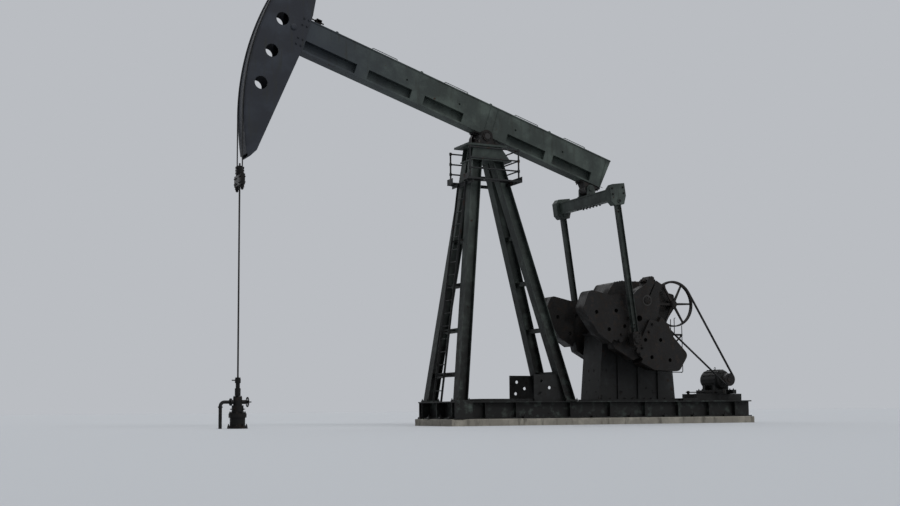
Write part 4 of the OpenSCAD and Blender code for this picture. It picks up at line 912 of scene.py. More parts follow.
@dataclass
class BaseFrame:
    """Fasteners, clamps and stiffeners of the skid and its front sill."""

    top: float = 0.551
    plate_top: float = 0.581
    flange_top: float = 0.184
    clamp_top: float = 0.204
    clamp_half: float = 0.05
    clamp_nut: float = 0.03
    rail_edge: float = 0.68
    rail_web: float = 0.56
    sill_edge: float = 1.225
    foot_plates: tuple[tuple[float, float], ...] = ((-0.985, 0.788), (1.945, 0.59))
    foot_bolt: float = 0.143
    clamp_places: tuple[float, ...] = (-0.3, 0.7, 2.55, 3.6, 4.6, 5.45, 6.4)
    sill_places: tuple[float, ...] = (0.3, 0.78)
    stiffener_places: tuple[float, ...] = (-0.3, 0.5, 1.945, 3.05, 4.05, 5.02, 5.95, 6.75)

    def clamps(self) -> Shape:
        """Stepped clamps, 100 mm wide, that hold the rails' and the sill's flanges down, and their anchor nuts.

        Returns:
            The clamps and nuts on both sides.
        """
        outline = np.array([[-0.045, 0.184], [0.002, 0.184], [0.002, 0.1565], [0.07, 0.1565],
                            [0.07, 0.19], [0.05, 0.204], [-0.045, 0.204]])
        clamp = carried(np.array([[-self.clamp_half, 0.0, 0.0], [self.clamp_half, 0.0, 0.0]]), outline, SIDEWAYS)
        quarter_turn = np.array([[0.0, 1.0, 0.0], [-1.0, 0.0, 0.0], [0.0, 0.0, 1.0]])
        made = [Shape(clamp.points + (x, self.rail_edge, 0.0), clamp.faces) for x in self.clamp_places]
        made += [Shape(clamp.points @ quarter_turn + (-self.sill_edge, y, 0.0), clamp.faces)
                 for y in self.sill_places]
        nuts = np.concatenate([grid(self.clamp_places, (self.rail_edge + self.clamp_nut,), (self.clamp_top,)),
                               grid((-self.sill_edge - self.clamp_nut,), self.sill_places, (self.clamp_top,))])
        return both_sides(*made, bolts(0.036, 0.03, nuts, UP))

    def foot_bolts(self) -> Shape:
        """Four bolts in the corners of each foot plate."""
        corners = grid((-self.foot_bolt, self.foot_bolt), (-self.foot_bolt, self.foot_bolt), (self.plate_top,))
        spots = np.concatenate([corners + (x, y, 0.0) for x, y in self.foot_plates])
        return both_sides(bolts(0.03, 0.022, spots, UP))

    def stiffeners(self) -> Shape:
        """Upright plates welded between the rails' flanges.

        Returns:
            The plates and their welds on both sides.
        """
        made = []
        for x in self.stiffener_places:
            made.append(block((x - 0.006, self.rail_web, self.flange_top),
                              (x + 0.006, self.rail_edge - 0.008, self.top - 0.028)))
            made += [weld(((x + side, self.rail_web + 0.004, self.flange_top + 0.01),
                           (x + side, self.rail_web + 0.004, self.top - 0.04)), ALONG, 0.006, 0.016)
                     for side in (-0.008, 0.008)]
        return both_sides(*made)

    def build(self, shop: Workshop) -> None:
        """Builds the base frame's pieces."""
        shop.piece("skid_foot_bolts", self.foot_bolts())
        shop.piece("skid_anchor_clamps", self.clamps(), Slot.MACHINE_PAINT)
        shop.piece("skid_web_stiffeners", self.stiffeners(), Slot.BEAM_PAINT)


@dataclass
class Post:
    """Fasteners of the four-legged post, of its cap and of the platform's rails."""

    low_z: float = 0.551
    high_z: float = 6.167
    front: tuple[float, float, float, float] = (-0.985, 0.788, -0.238, 0.154)
    rear: tuple[float, float, float, float] = (1.945, 0.59, 0.315, 0.154)
    front_bars: tuple[float, ...] = (1.16, 2.17, 3.22, 4.28)
    rear_bars: tuple[float, ...] = (1.19, 2.22, 3.33, 4.40)
    bar_bolt_steps: Rows = ((-0.05,), (-0.155, -0.205), (0.012,))
    bar_plate: float = 0.012
    cap_low_bolts: Rows = ((-0.345, 0.605), (0.08, 0.2), (6.2,))
    cap_top_bolts: Rows = ((-0.47, 0.45), (0.12, 0.3), (6.545,))
    pillow_bolts: Rows = ((-0.258, 0.258), (0.245,), (6.587,))
    pivot_z: float = 6.74
    cover_face: float = 0.339
    cover_ring: float = 0.091
    leg_half: float = 0.131
    weld_half: float = 0.12
    foot_z: float = 0.583
    platform_z: float = 5.70
    foot_top: float = 5.709
    rail_top: float = 6.42
    rail_drops: tuple[float, ...] = (0.0, 0.25, 0.49)
    posts_x: tuple[float, ...] = (-0.55, 0.73)
    posts_y: float = 0.51

    def leg_points(self, leg: tuple[float, float, float, float], heights: Sequence[float]) -> Points:
        """Finds the middle of a leg at given heights, in proportion between its foot and its top.

        Args:
            leg: x and y of its foot, then of its top.
            heights: the heights.

        Returns:
            One point for each height.
        """
        z = np.array(heights)
        share = (z - self.low_z) / (self.high_z - self.low_z)
        return np.stack([leg[0] + share * (leg[2] - leg[0]), leg[1] + share * (leg[3] - leg[1]), z], -1)

    def bar_bolts(self) -> Shape:
        """Two bolts at each end of each cross bar, with their nuts behind the bar's upright plate.

        Returns:
            The bolts and nuts on both sides.
        """
        ends = np.concatenate([self.leg_points(self.front, self.front_bars),
                               self.leg_points(self.rear, self.rear_bars)])
        heads = (ends[:, None] + grid(*self.bar_bolt_steps)[None]).reshape(-1, 3)
        nuts = heads + (self.bar_plate, 0.0, 0.0)
        return both_sides(bolts(0.026, 0.0, heads, BACK), bolts(0.026, 0.012, nuts, ALONG))

    def cap_bolts(self) -> Shape:
        """Bolts of the post's cap plates and of the two pillow blocks on it, with the covers' screws.

        Returns:
            The bolts on both sides.
        """
        return both_sides(
            bolts(0.036, 0.02, grid(*self.cap_low_bolts), UP),
            bolts(0.036, 0.0, grid(*self.cap_top_bolts), UP),
            bolts(0.05, 0.04, grid(*self.pillow_bolts), UP),
            bolts(0.016, 0.0, ring((0.0, self.cover_face, self.pivot_z), self.cover_ring, 8, 22.5), SIDEWAYS),
        )

    def rail_fittings(self) -> Shape:
        """Clamp sleeves where the rails meet the posts, and a bolted foot under each post.

        Returns:
            The sleeves, feet and bolts on both sides.
        """
        sleeve = turned(12, (0.023, -0.036), (0.031, -0.03), (0.031, 0.03), (0.023, 0.036))
        heights = [self.rail_top - drop for drop in self.rail_drops]
        made = [spread(sleeve, grid(self.posts_x, (self.posts_y,), heights), UP)]
        for x in self.posts_x:
            made.append(block((x - 0.045, self.posts_y - 0.05, self.platform_z),
                              (x + 0.045, self.posts_y + 0.04, self.foot_top)))
            spots = grid((x - 0.032, x + 0.032), (self.posts_y - 0.037,), (self.foot_top,))
            made.append(bolts(0.014, 0.0, spots, UP))
        return both_sides(*made)

    def leg_welds(self) -> Shape:
        """Beads round the feet of the legs, where their flanges meet the foot plates."""
        return both_sides(*[
            weld(((x + side, y - self.weld_half, self.foot_z), (x + side, y + self.weld_half, self.foot_z)),
                 ALONG, 0.009)
            for x, y, _, _ in (self.front, self.rear) for side in (-self.leg_half, self.leg_half)])

    def build(self, shop: Workshop) -> None:
        """Builds the post's pieces."""
        shop.piece("post_bar_bolts", self.bar_bolts())
        shop.piece("post_cap_bolts", self.cap_bolts())
        shop.piece("post_leg_welds", self.leg_welds(), Slot.BEAM_PAINT)
        shop.piece("platform_rail_fittings", self.rail_fittings(), Slot.MACHINE_PAINT)


@dataclass
class Platform:
    """The service platform: gratings at both ends and beside the legs, and an open middle framed by angles."""

    front: float = -0.62
    back: float = 0.8
    half: float = 0.56
    top: float = 5.7
    low: float = 5.66
    kerb_top: float = 5.8
    plate: float = 0.008
    angle: float = 0.035
    bearer_x: tuple[float, ...] = (-0.488, 0.565)
    bearer_half: float = 0.035
    bearer_low: float = 5.582
    bar_pitch: float = 0.03
    bar_depth: float = 0.028
    rod_pitch: float = 0.1
    gratings: tuple[tuple[float, float, float, float], ...] = (
        (-0.61, -0.44, 0.27, 0.555),
        (-0.44, -0.16, 0.338, 0.555),
        (0.31, 0.59, 0.338, 0.555),
        (0.59, 0.79, 0.0, 0.555),
    )

    def grating(self, start: float, end: float, inner: float, outer: float) -> list[Shape]:
        """Flat bars on edge across a field, with round rods through them.

        Args:
            start: the field's front.
            end: its back.
            inner: its side towards the middle plane.
            outer: its outer side.

        Returns:
            The bars and rods.
        """
        rod_z = self.top - 0.006
        bars = [block((x - 0.002, inner, self.top - self.bar_depth), (x + 0.002, outer, self.top), 0.0006)
                for x in np.arange(start + 0.012, end, self.bar_pitch)]
        return bars + [rod((start, y, rod_z), (end, y, rod_z), 0.004, 6)
                       for y in np.arange(inner + 0.03, outer, self.rod_pitch)]

    def frame(self) -> Shape:
        """Kerbs at both ends, angles along the sides, inner angles beside the legs, and the bearers.

        Returns:
            The frame on both sides.
        """
        made = [
            block((self.back - self.plate, 0.0, self.low), (self.back, self.half, self.kerb_top), 0.002),
            block((self.front, 0.262, self.low), (self.front + self.plate, self.half, self.kerb_top), 0.002),
            block((self.front, self.half - 0.006, self.low), (self.back, self.half, self.top + 0.002), 0.001),
            block((self.front, self.half - self.angle, self.low), (self.back, self.half, self.low + 0.006), 0.001),
            block((self.front, 0.334, self.low), (self.back, 0.34, self.top - 0.003), 0.001),
        ]
        for x in self.bearer_x:
            made.append(block((x - self.bearer_half, 0.0, self.low - 0.008),
                              (x + self.bearer_half, self.half, self.low), 0.001))
            made.append(block((x - 0.004, 0.0, self.bearer_low), (x + 0.004, self.half, self.low - 0.006), 0.001))
        return both_sides(*made)

    def build(self, shop: Workshop) -> None:
        """Builds the open platform in place of its plain solid."""
        fields = [shape for sides in self.gratings for shape in self.grating(*sides)]
        shop.piece("platform_frame", self.frame(), Slot.MACHINE_PAINT, stands_for="platform_floor")
        shop.piece("platform_gratings", both_sides(*fields), Slot.MACHINE_PAINT)


@dataclass
class WalkingBeam:
    """Hand rails, ribs, welds and bolts of the beam, in the beam's own frame of along, sideways and up."""

    side: float = 0.151
    low: float = 0.072
    high: float = 0.832
    flange: float = 0.025
    front: float = -4.78
    tail: float = 3.43
    hand_rails: tuple[tuple[float, float], ...] = ((-3.23, -2.585), (-1.31, -0.68), (0.645, 1.3), (2.07, 2.69))
    rail_y: float = 0.09
    rail_rise: float = 0.055
    rail_r: float = 0.009
    rib_places: tuple[float, ...] = (-0.03, 0.17, 3.33)
    saddle_bolts: Rows = ((-0.215, -0.15, 0.15, 0.215), (0.112,), (0.042,))
    tail_bolts: Rows = ((2.838, 3.332), (0.035, 0.105), (0.032,))

    @property
    def web(self) -> tuple[float, float]:
        """The lower and upper end of the side plates, between the flanges."""
        return self.low + self.flange, self.high - self.flange

    def rails(self) -> Shape:
        """Two low hand rails on each stretch of the top, each a bent bar that stands on its ends.

        Returns:
            The rails with a small foot under each end.
        """
        foot = turned(8, (0.02, 0.0), (0.017, 0.006))
        sunk, top = self.high - 0.004, self.high + self.rail_rise
        made = []
        for start, end in self.hand_rails:
            corners = ((start, sunk), (start, top - 0.02), (start + 0.006, top - 0.006), (start + 0.02, top),
                       (end - 0.02, top), (end - 0.006, top - 0.006), (end, top - 0.02), (end, sunk))
            path = np.array([(along, self.rail_y, up) for along, up in corners])
            made.append(carried(path, circle(self.rail_r, 8), SIDEWAYS))
            made.append(spread(foot, grid((start, end), (self.rail_y,), (self.high,)), UP))
        return BEAM.place(both_sides(*made))

    def ribs(self) -> Shape:
        """Upright plates on the sides over the centre bearing and at the tail, with their welds.

        Returns:
            The plates and welds.
        """
        low, high = self.web
        made = []
        for along in self.rib_places:
            made.append(block((along - 0.006, self.side - 0.001, low),
                              (along + 0.006, self.side + 0.011, high), 0.001))
            made += [weld(((along + edge, self.side, low), (along + edge, self.side, high)), SIDEWAYS, 0.005, 0.018)
                     for edge in (-0.008, 0.008)]
        return BEAM.place(both_sides(*made))

    def seams(self) -> Shape:
        """Long welds where the side plates meet the flanges."""
        return BEAM.place(both_sides(*[weld(((self.front, self.side, up), (self.tail, self.side, up)),
                                            SIDEWAYS, 0.006, 0.02) for up in self.web]))

    def flange_bolts(self) -> Shape:
        """Bolts under the saddle's flange and under the tail bearing's flange, with their heads down."""
        saddle = bolts(0.036, 0.02, grid(*self.saddle_bolts), DOWN)
        return BEAM.place(both_sides(saddle, bolts(0.036, 0.025, grid(*self.tail_bolts), DOWN)))

    def build(self, shop: Workshop) -> None:
        """Builds the beam's pieces."""
        shop.piece("beam_hand_rails", self.rails(), Slot.BEAM_PAINT, Body.BEAM)
        shop.piece("beam_ribs", self.ribs(), Slot.BEAM_PAINT, Body.BEAM)
        shop.piece("beam_seams", self.seams(), Slot.BEAM_PAINT, Body.BEAM)
        shop.piece("beam_bolts", self.flange_bolts(), Slot.FITTINGS, Body.BEAM)


@dataclass
class Horsehead:
    """Pivot pin, tilting screw, bolts and welds of the horsehead, in the beam's own frame."""

    face: float = 0.222
    pin: tuple[float, float] = (-5.14, 0.49)
    pin_r: float = 0.062
    bolt_columns: tuple[float, ...] = (-4.86, -4.97)
    bolt_rows: tuple[float, ...] = (0.16, 0.31, 0.63, 0.78)
    track_r: float = 5.832
    track_deg: tuple[float, float] = (-25.0, 24.0)
    lug: tuple[float, float] = (-4.67, -4.53)
    lug_sides: tuple[float, float] = (0.035, 0.06)
    cross_inset: float = 0.02
    cross_depth: float = 0.035
    beam_top: float = 0.832
    screw_up: float = 0.935
    screw_ends: tuple[float, float] = (-4.8, -4.46)
    screw_r: float = 0.016

    def side_pins(self) -> Shape:
        """The pivot pin's collars and nuts, and two columns of bolts through each side plate.

        Returns:
            The collars and bolts.
        """
        wide, pin = 1.25 * self.pin_r, self.pin_r
        collar = turned(20, (wide, -0.002), (wide, 0.008), (pin, 0.012), (pin, 0.026), (0.8 * pin, 0.03))
        return BEAM.place(both_sides(
            spread(collar, [(self.pin[0], self.face, self.pin[1])], SIDEWAYS),
            bolts(0.036, 0.0, grid(self.bolt_columns, (self.face,), self.bolt_rows), SIDEWAYS)))

    def track_welds(self) -> Shape:
        """Welds between the side plates and the track: an arc about the centre bearing on each side."""
        angle = np.radians(np.linspace(*self.track_deg, 90))
        arc = np.stack([-self.track_r * np.cos(angle), np.full(90, self.face), self.track_r * np.sin(angle)], -1)
        return BEAM.place(both_sides(weld(arc, SIDEWAYS, 0.006, 0.018)))

    def tilting_screw(self) -> Shape:
        """A lug on the beam's top with a threaded rod that holds the horsehead upright.

        Returns:
            The lugs, the cross piece between them, the screw and its nuts.
        """
        front, back = self.lug[0] + self.cross_inset, self.lug[1] - self.cross_inset
        nut = turned(6, (0.034, 0.0), (0.034, 0.026), (0.03, 0.03))
        (inner, outer), depth, up = self.lug_sides, self.cross_depth, self.screw_up
        lug = block((self.lug[0], inner, self.beam_top - 0.003), (self.lug[1], outer, up + 0.05), 0.012)
        return BEAM.place(joined(
            both_sides(lug),
            block((front, -outer, up - depth), (back, outer, up + depth), 0.006),
            rod((self.screw_ends[0], 0.0, up), (self.screw_ends[1], 0.0, up), self.screw_r),
            spread(nut, [(front, 0.0, up)], BACK),
            spread(nut, [(back, 0.0, up)], ALONG)))

    def build(self, shop: Workshop) -> None:
        """Builds the horsehead's pieces."""
        shop.piece("horsehead_pins", self.side_pins(), Slot.HEAD_PAINT, Body.BEAM)
        shop.piece("horsehead_track_welds", self.track_welds(), Slot.HEAD_PAINT, Body.BEAM)
        shop.piece("horsehead_tilting_screw", self.tilting_screw(), Slot.FITTINGS, Body.BEAM)


@dataclass
class Bridle:
    """The two wire ropes over the horsehead's track, and the fittings of the carrier bar and rod clamp."""

    well_x: float = -5.87
    rope_y: float = 0.19
    rope_r: float = 0.014
    pivot_z: float = 6.74
    carrier_z: float = 5.42993
    wrapped_deg: float = 42.0
    pitch: float = 0.2
    step: float = 0.015
    collars_z: tuple[float, ...] = (5.15, 5.18)
    nut_z: float = 5.135
    keeper_half: float = 0.045
    keepers_y: tuple[float, ...] = (0.11, 0.19, 0.225)
    keepers_z: tuple[float, ...] = (5.25, 5.37)
    clamp_half: float = 0.073
    clamp_y: float = 0.046
    clamp_z: tuple[float, ...] = (5.47, 5.53, 5.59)

    def hanging(self) -> Shape:
        """The two strands from the carrier bar up to where they meet the track."""
        ends = np.array([[self.well_x, self.rope_y, self.carrier_z], [self.well_x, self.rope_y, self.pivot_z]])
        path = np.linspace(*ends, round((self.pivot_z - self.carrier_z) / self.step))
        return both_sides(laid_rope(path, self.rope_r, SIDEWAYS, self.pitch))

    def wrapped(self) -> Shape:
        """The two strands on the track: an arc about the centre bearing.

        Returns:
            The wrapped strands.
        """
        reach, turn = -self.well_x, math.radians(self.wrapped_deg)
        angle = np.linspace(0.0, turn, round(reach * turn / self.step))
        path = np.stack([-reach * np.cos(angle), np.full(len(angle), self.rope_y),
                         self.pivot_z + reach * np.sin(angle)], -1)
        return both_sides(laid_rope(path, self.rope_r, SIDEWAYS, self.pitch))

    def anchor(self) -> Shape:
        """The bolted plate that clamps both ropes' ends to the track.

        Returns:
            The plate and its nuts.
        """
        angle = math.radians(self.wrapped_deg)
        spot = Lean(self.well_x * math.cos(angle), self.pivot_z - self.well_x * math.sin(angle),
                    90.0 - self.wrapped_deg)
        plate = block((-0.09, -0.215, -0.002), (-0.01, 0.215, 0.024), 0.004)
        return spot.place(joined(plate, bolts(0.03, 0.015, grid((-0.05,), (-0.15, 0.0, 0.15), (0.024,)), UP)))

    def carrier_fittings(self) -> Shape:
        """Ferrules and nuts at the ropes' ends, keeper bolts on the carrier bar and bolts through the rod clamp.

        Returns:
            The fittings on both sides.
        """
        x, y = self.well_x, self.rope_y
        ferrule = turned(14, (0.032, -0.004), (0.032, 0.014), (0.02, 0.07), (0.016, 0.075))
        collar = turned(20, (0.044, -0.006), (0.046, 0.0), (0.044, 0.006))
        clamp = grid((x - self.clamp_half, x + self.clamp_half), (self.clamp_y,), self.clamp_z)
        made = [spread(ferrule, [(x, y, self.carrier_z)], UP),
                spread(collar, grid((x,), (y,), self.collars_z), UP),
                bolts(0.055, 0.012, [(x, y, self.nut_z)], DOWN),
                bolts(0.022, 0.01, clamp, SIDEWAYS)]
        made += [bolts(0.024, 0.0, grid((x + way[0] * self.keeper_half,), self.keepers_y, self.keepers_z), way)
                 for way in (ALONG, BACK)]
        return both_sides(*made)

    def build(self, shop: Workshop) -> None:
        """Builds the ropes in place of their plain solids, and the fittings."""
        strands = shop.piece("bridle_rope_hanging", self.hanging(), Slot.WIRE_ROPE, None, "bridle_strands", 180.0)
        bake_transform(strands)
        shop.piece("bridle_rope_wrapped", self.wrapped(), Slot.WIRE_ROPE, Body.BEAM, "bridle_wrap", 180.0)
        shop.piece("bridle_anchor_plate", self.anchor(), Slot.HEAD_PAINT, Body.BEAM)
        shop.piece("carrier_fittings", self.carrier_fittings(), Slot.FITTINGS, Body.HANGER)


@dataclass
class CrankAssembly:
    """Bolts of the counterweights and of the cranks' clamps, in the cranks' own frame."""

    lip_bolts: Rows = ((0.48, 0.69, 1.13, 1.29), (1.07,), (-0.33, 0.33))
    clamp_s: float = -0.414
    clamp_y: tuple[float, ...] = (0.778, 0.902)
    clamp_v: float = 0.22
    crank_face: float = 0.98

    def weight_bolts(self) -> Shape:
        """Four nuts on each lip; they stay under the wrist bearings' path."""
        return CRANKS.place(both_sides(bolts(0.055, 0.008, grid(*self.lip_bolts), SIDEWAYS)))

    def clamp_nuts(self) -> Shape:
        """Nuts at both ends of the clamp bolts in each crank's split tail."""
        nut = turned(6, (0.061, -0.003), (0.061, 0.006), (0.052, 0.006), (0.052, 0.05), (0.046, 0.056))
        high, low = (grid((self.clamp_s,), self.clamp_y, (v,)) for v in (self.clamp_v, -self.clamp_v))
        return CRANKS.place(both_sides(spread(nut, high, UP), spread(nut, low, DOWN)))

    def shaft_plates(self) -> Shape:
        """A round keeper plate with six screws on each end of the crankshaft."""
        plate = turned(28, (0.1, -0.002), (0.1, 0.01), (0.094, 0.014))
        screws = bolts(0.02, 0.0, ring((0.0, self.crank_face + 0.014, 0.0), 0.072, 6, 30.0), SIDEWAYS)
        return CRANKS.place(both_sides(spread(plate, [(0.0, self.crank_face + 0.001, 0.0)], SIDEWAYS), screws))

    def build(self, shop: Workshop) -> None:
        """Builds the cranks' pieces."""
        shop.piece("counterweight_bolts", self.weight_bolts(), Slot.FITTINGS, Body.CRANKS)
        shop.piece("crank_clamp_nuts", self.clamp_nuts(), Slot.FITTINGS, Body.CRANKS)
        shop.piece("crankshaft_keepers", self.shaft_plates(), Slot.CAST_IRON, Body.CRANKS)


@dataclass
class PitmanAssembly:
    """Bolts of the equalizer beam, its head blocks and the wrist bearings, in the pitmans' own frame."""

    under_bolts: Rows = ((-0.085, 0.085), (0.075, 0.225, 0.375), (-0.43,))
    over_bolts: Rows = ((-0.1, 0.1), (0.26,), (-0.15,))
    block_bolts: Rows = ((-0.15, 0.15), (1.335,), (-0.16, -0.3))
    pin_end: tuple[float, float, float] = (0.0, 1.361, -0.47)
    cover: tuple[float, float, float] = (0.0, 1.322, -3.776)
    cover_ring: float = 0.072
    housing_bolts: Rows = ((-0.085, 0.085), (1.3,), (-3.921, -3.631))
    bar_bolts: Rows = ((0.0,), (1.242,), (-0.64, -0.72, -3.42, -3.5))

    def equalizer_bolts(self) -> Shape:
        """Two rows of bolts that hang under the equalizer, and four round each lug on its top."""
        under, over = grid(*self.under_bolts), grid(*self.over_bolts)
        return PITMANS.place(both_sides(bolts(0.042, 0.0, under, DOWN), bolts(0.03, 0.0, over, UP)))

    def head_block_bolts(self) -> Shape:
        """Bolts in the head blocks' outer faces and the pins' end caps."""
        face = bolts(0.036, 0.0, grid(*self.block_bolts), SIDEWAYS)
        cap = turned(14, (0.034, -0.003), (0.034, 0.004), (0.028, 0.008))
        return PITMANS.place(both_sides(face, spread(cap, [self.pin_end], SIDEWAYS)))

    def wrist_bolts(self) -> Shape:
        """A ring of screws on each wrist bearing's cover, four bolts in its housing, and bolts at the bars' ends."""
        large = np.concatenate([grid(*self.housing_bolts), grid(*self.bar_bolts)])
        return PITMANS.place(both_sides(bolts(0.018, 0.0, ring(self.cover, self.cover_ring, 6), SIDEWAYS),
                                        bolts(0.03, 0.0, large, SIDEWAYS)))

    def build(self, shop: Workshop) -> None:
        """Builds the pitmans' pieces."""
        shop.piece("equalizer_bolts", self.equalizer_bolts(), Slot.FITTINGS, Body.PITMANS)
        shop.piece("head_block_bolts", self.head_block_bolts(), Slot.FITTINGS, Body.PITMANS)
        shop.piece("wrist_bearing_bolts", self.wrist_bolts(), Slot.FITTINGS, Body.PITMANS)


@dataclass
class GearReducer:
    """Bolts, cover and breather of the gear reducer, and the bolts of its stand."""

    split_top: float = 2.985
    split_low: float = 2.915
    split_y: float = 0.416
    split_x: tuple[float, float] = (3.26, 5.13)
    end_bolts: Rows = ((3.184, 5.192), (0.07, 0.2, 0.33), (2.985,))
    shaft_boss: float = 0.27
    pinion_boss: float = 0.15
    shaft: tuple[float, float] = (3.965, 2.95)
    shaft_face: float = 0.46
    shaft_ring: float = 0.2
    pinion: tuple[float, float] = (5.036, 2.923)
    pinion_face: float = 0.43
    pinion_ring: float = 0.1
    cover_top: float = 3.489
    cover_x: tuple[float, float] = (3.795, 4.305)
    cover_y: tuple[float, float] = (0.163, 0.055)
    breather_x: float = 4.74
    stand_top: float = 2.2
    stand_foot: float = 0.591
    stand_y: float = 0.43
    stand_top_x: tuple[float, float] = (3.15, 4.92)
    stand_foot_x: tuple[float, ...] = (2.97, 3.22, 3.65, 3.85, 4.2, 4.4, 4.8, 5.05)

    def split_bolts(self) -> Shape:
        """Bolts round the housing's split flange, left out where the two shafts' bosses stand.

        Returns:
            The bolts and their nuts on both sides.
        """
        x = np.linspace(*self.split_x, 14)
        x = x[(np.abs(x - self.shaft[0]) > self.shaft_boss) & (np.abs(x - self.pinion[0]) > self.pinion_boss)]
        heads = np.concatenate([grid(x, (self.split_y,), (self.split_top,)), grid(*self.end_bolts)])
        nuts = heads * (1.0, 1.0, 0.0) + (0.0, 0.0, self.split_low)
        return both_sides(bolts(0.026, 0.0, heads, UP), bolts(0.026, 0.012, nuts, DOWN))

    def boss_bolts(self) -> Shape:
        """Rings of screws round the two shafts' covers on each side."""
        shaft = ring((self.shaft[0], self.shaft_face, self.shaft[1]), self.shaft_ring, 10, 18.0)
        pinion = ring((self.pinion[0], self.pinion_face, self.pinion[1]), self.pinion_ring, 6, 18.0)
        return both_sides(bolts(0.026, 0.0, shaft, SIDEWAYS), bolts(0.02, 0.0, pinion, SIDEWAYS))

    def cover_bolts(self) -> Shape:
        """Screws round the inspection cover on top."""
        spots = np.concatenate([grid(np.linspace(*self.cover_x, 5), self.cover_y[:1], (self.cover_top,)),
                                grid(self.cover_x, self.cover_y[1:], (self.cover_top,))])
        return both_sides(bolts(0.022, 0.0, spots, UP))

    def breather(self) -> Shape:
        """The oil breather behind the cover: a bent neck with a wide cap.

        Returns:
            The neck, the cap and the foot.
        """
        bend = np.array([[self.breather_x, 0.0, 3.42], [4.742, 0.0, 3.5], [4.755, 0.0, 3.55], [4.78, 0.0, 3.59]])
        cap = turned(20, (0.045, -0.01), (0.06, 0.004), (0.06, 0.055), (0.05, 0.075), (0.02, 0.084))
        foot = turned(20, (0.07, -0.003), (0.07, 0.012), (0.062, 0.016))
        return joined(carried(bend, circle(0.033, 14), SIDEWAYS), Lean(4.775, 3.575, -32.0).place(cap),
                      spread(foot, [(self.breather_x, 0.0, 3.43)], UP))

    def stand_bolts(self) -> Shape:
        """Bolts along the upper and the lower flange of the stand."""
        top = grid(np.linspace(*self.stand_top_x, 6), (self.stand_y,), (self.stand_top,))
        low = grid(self.stand_foot_x, (self.stand_y,), (self.stand_foot,))
        return both_sides(bolts(0.03, 0.015, np.concatenate([top, low]), UP))

    def build(self, shop: Workshop) -> None:
        """Builds the reducer's pieces."""
        shop.piece("reducer_split_bolts", self.split_bolts())
        shop.piece("reducer_boss_bolts", self.boss_bolts())
        shop.piece("reducer_cover_bolts", self.cover_bolts())
        shop.piece("reducer_breather", self.breather(), Slot.CAST_IRON)
        shop.piece("reducer_stand_bolts", self.stand_bolts())


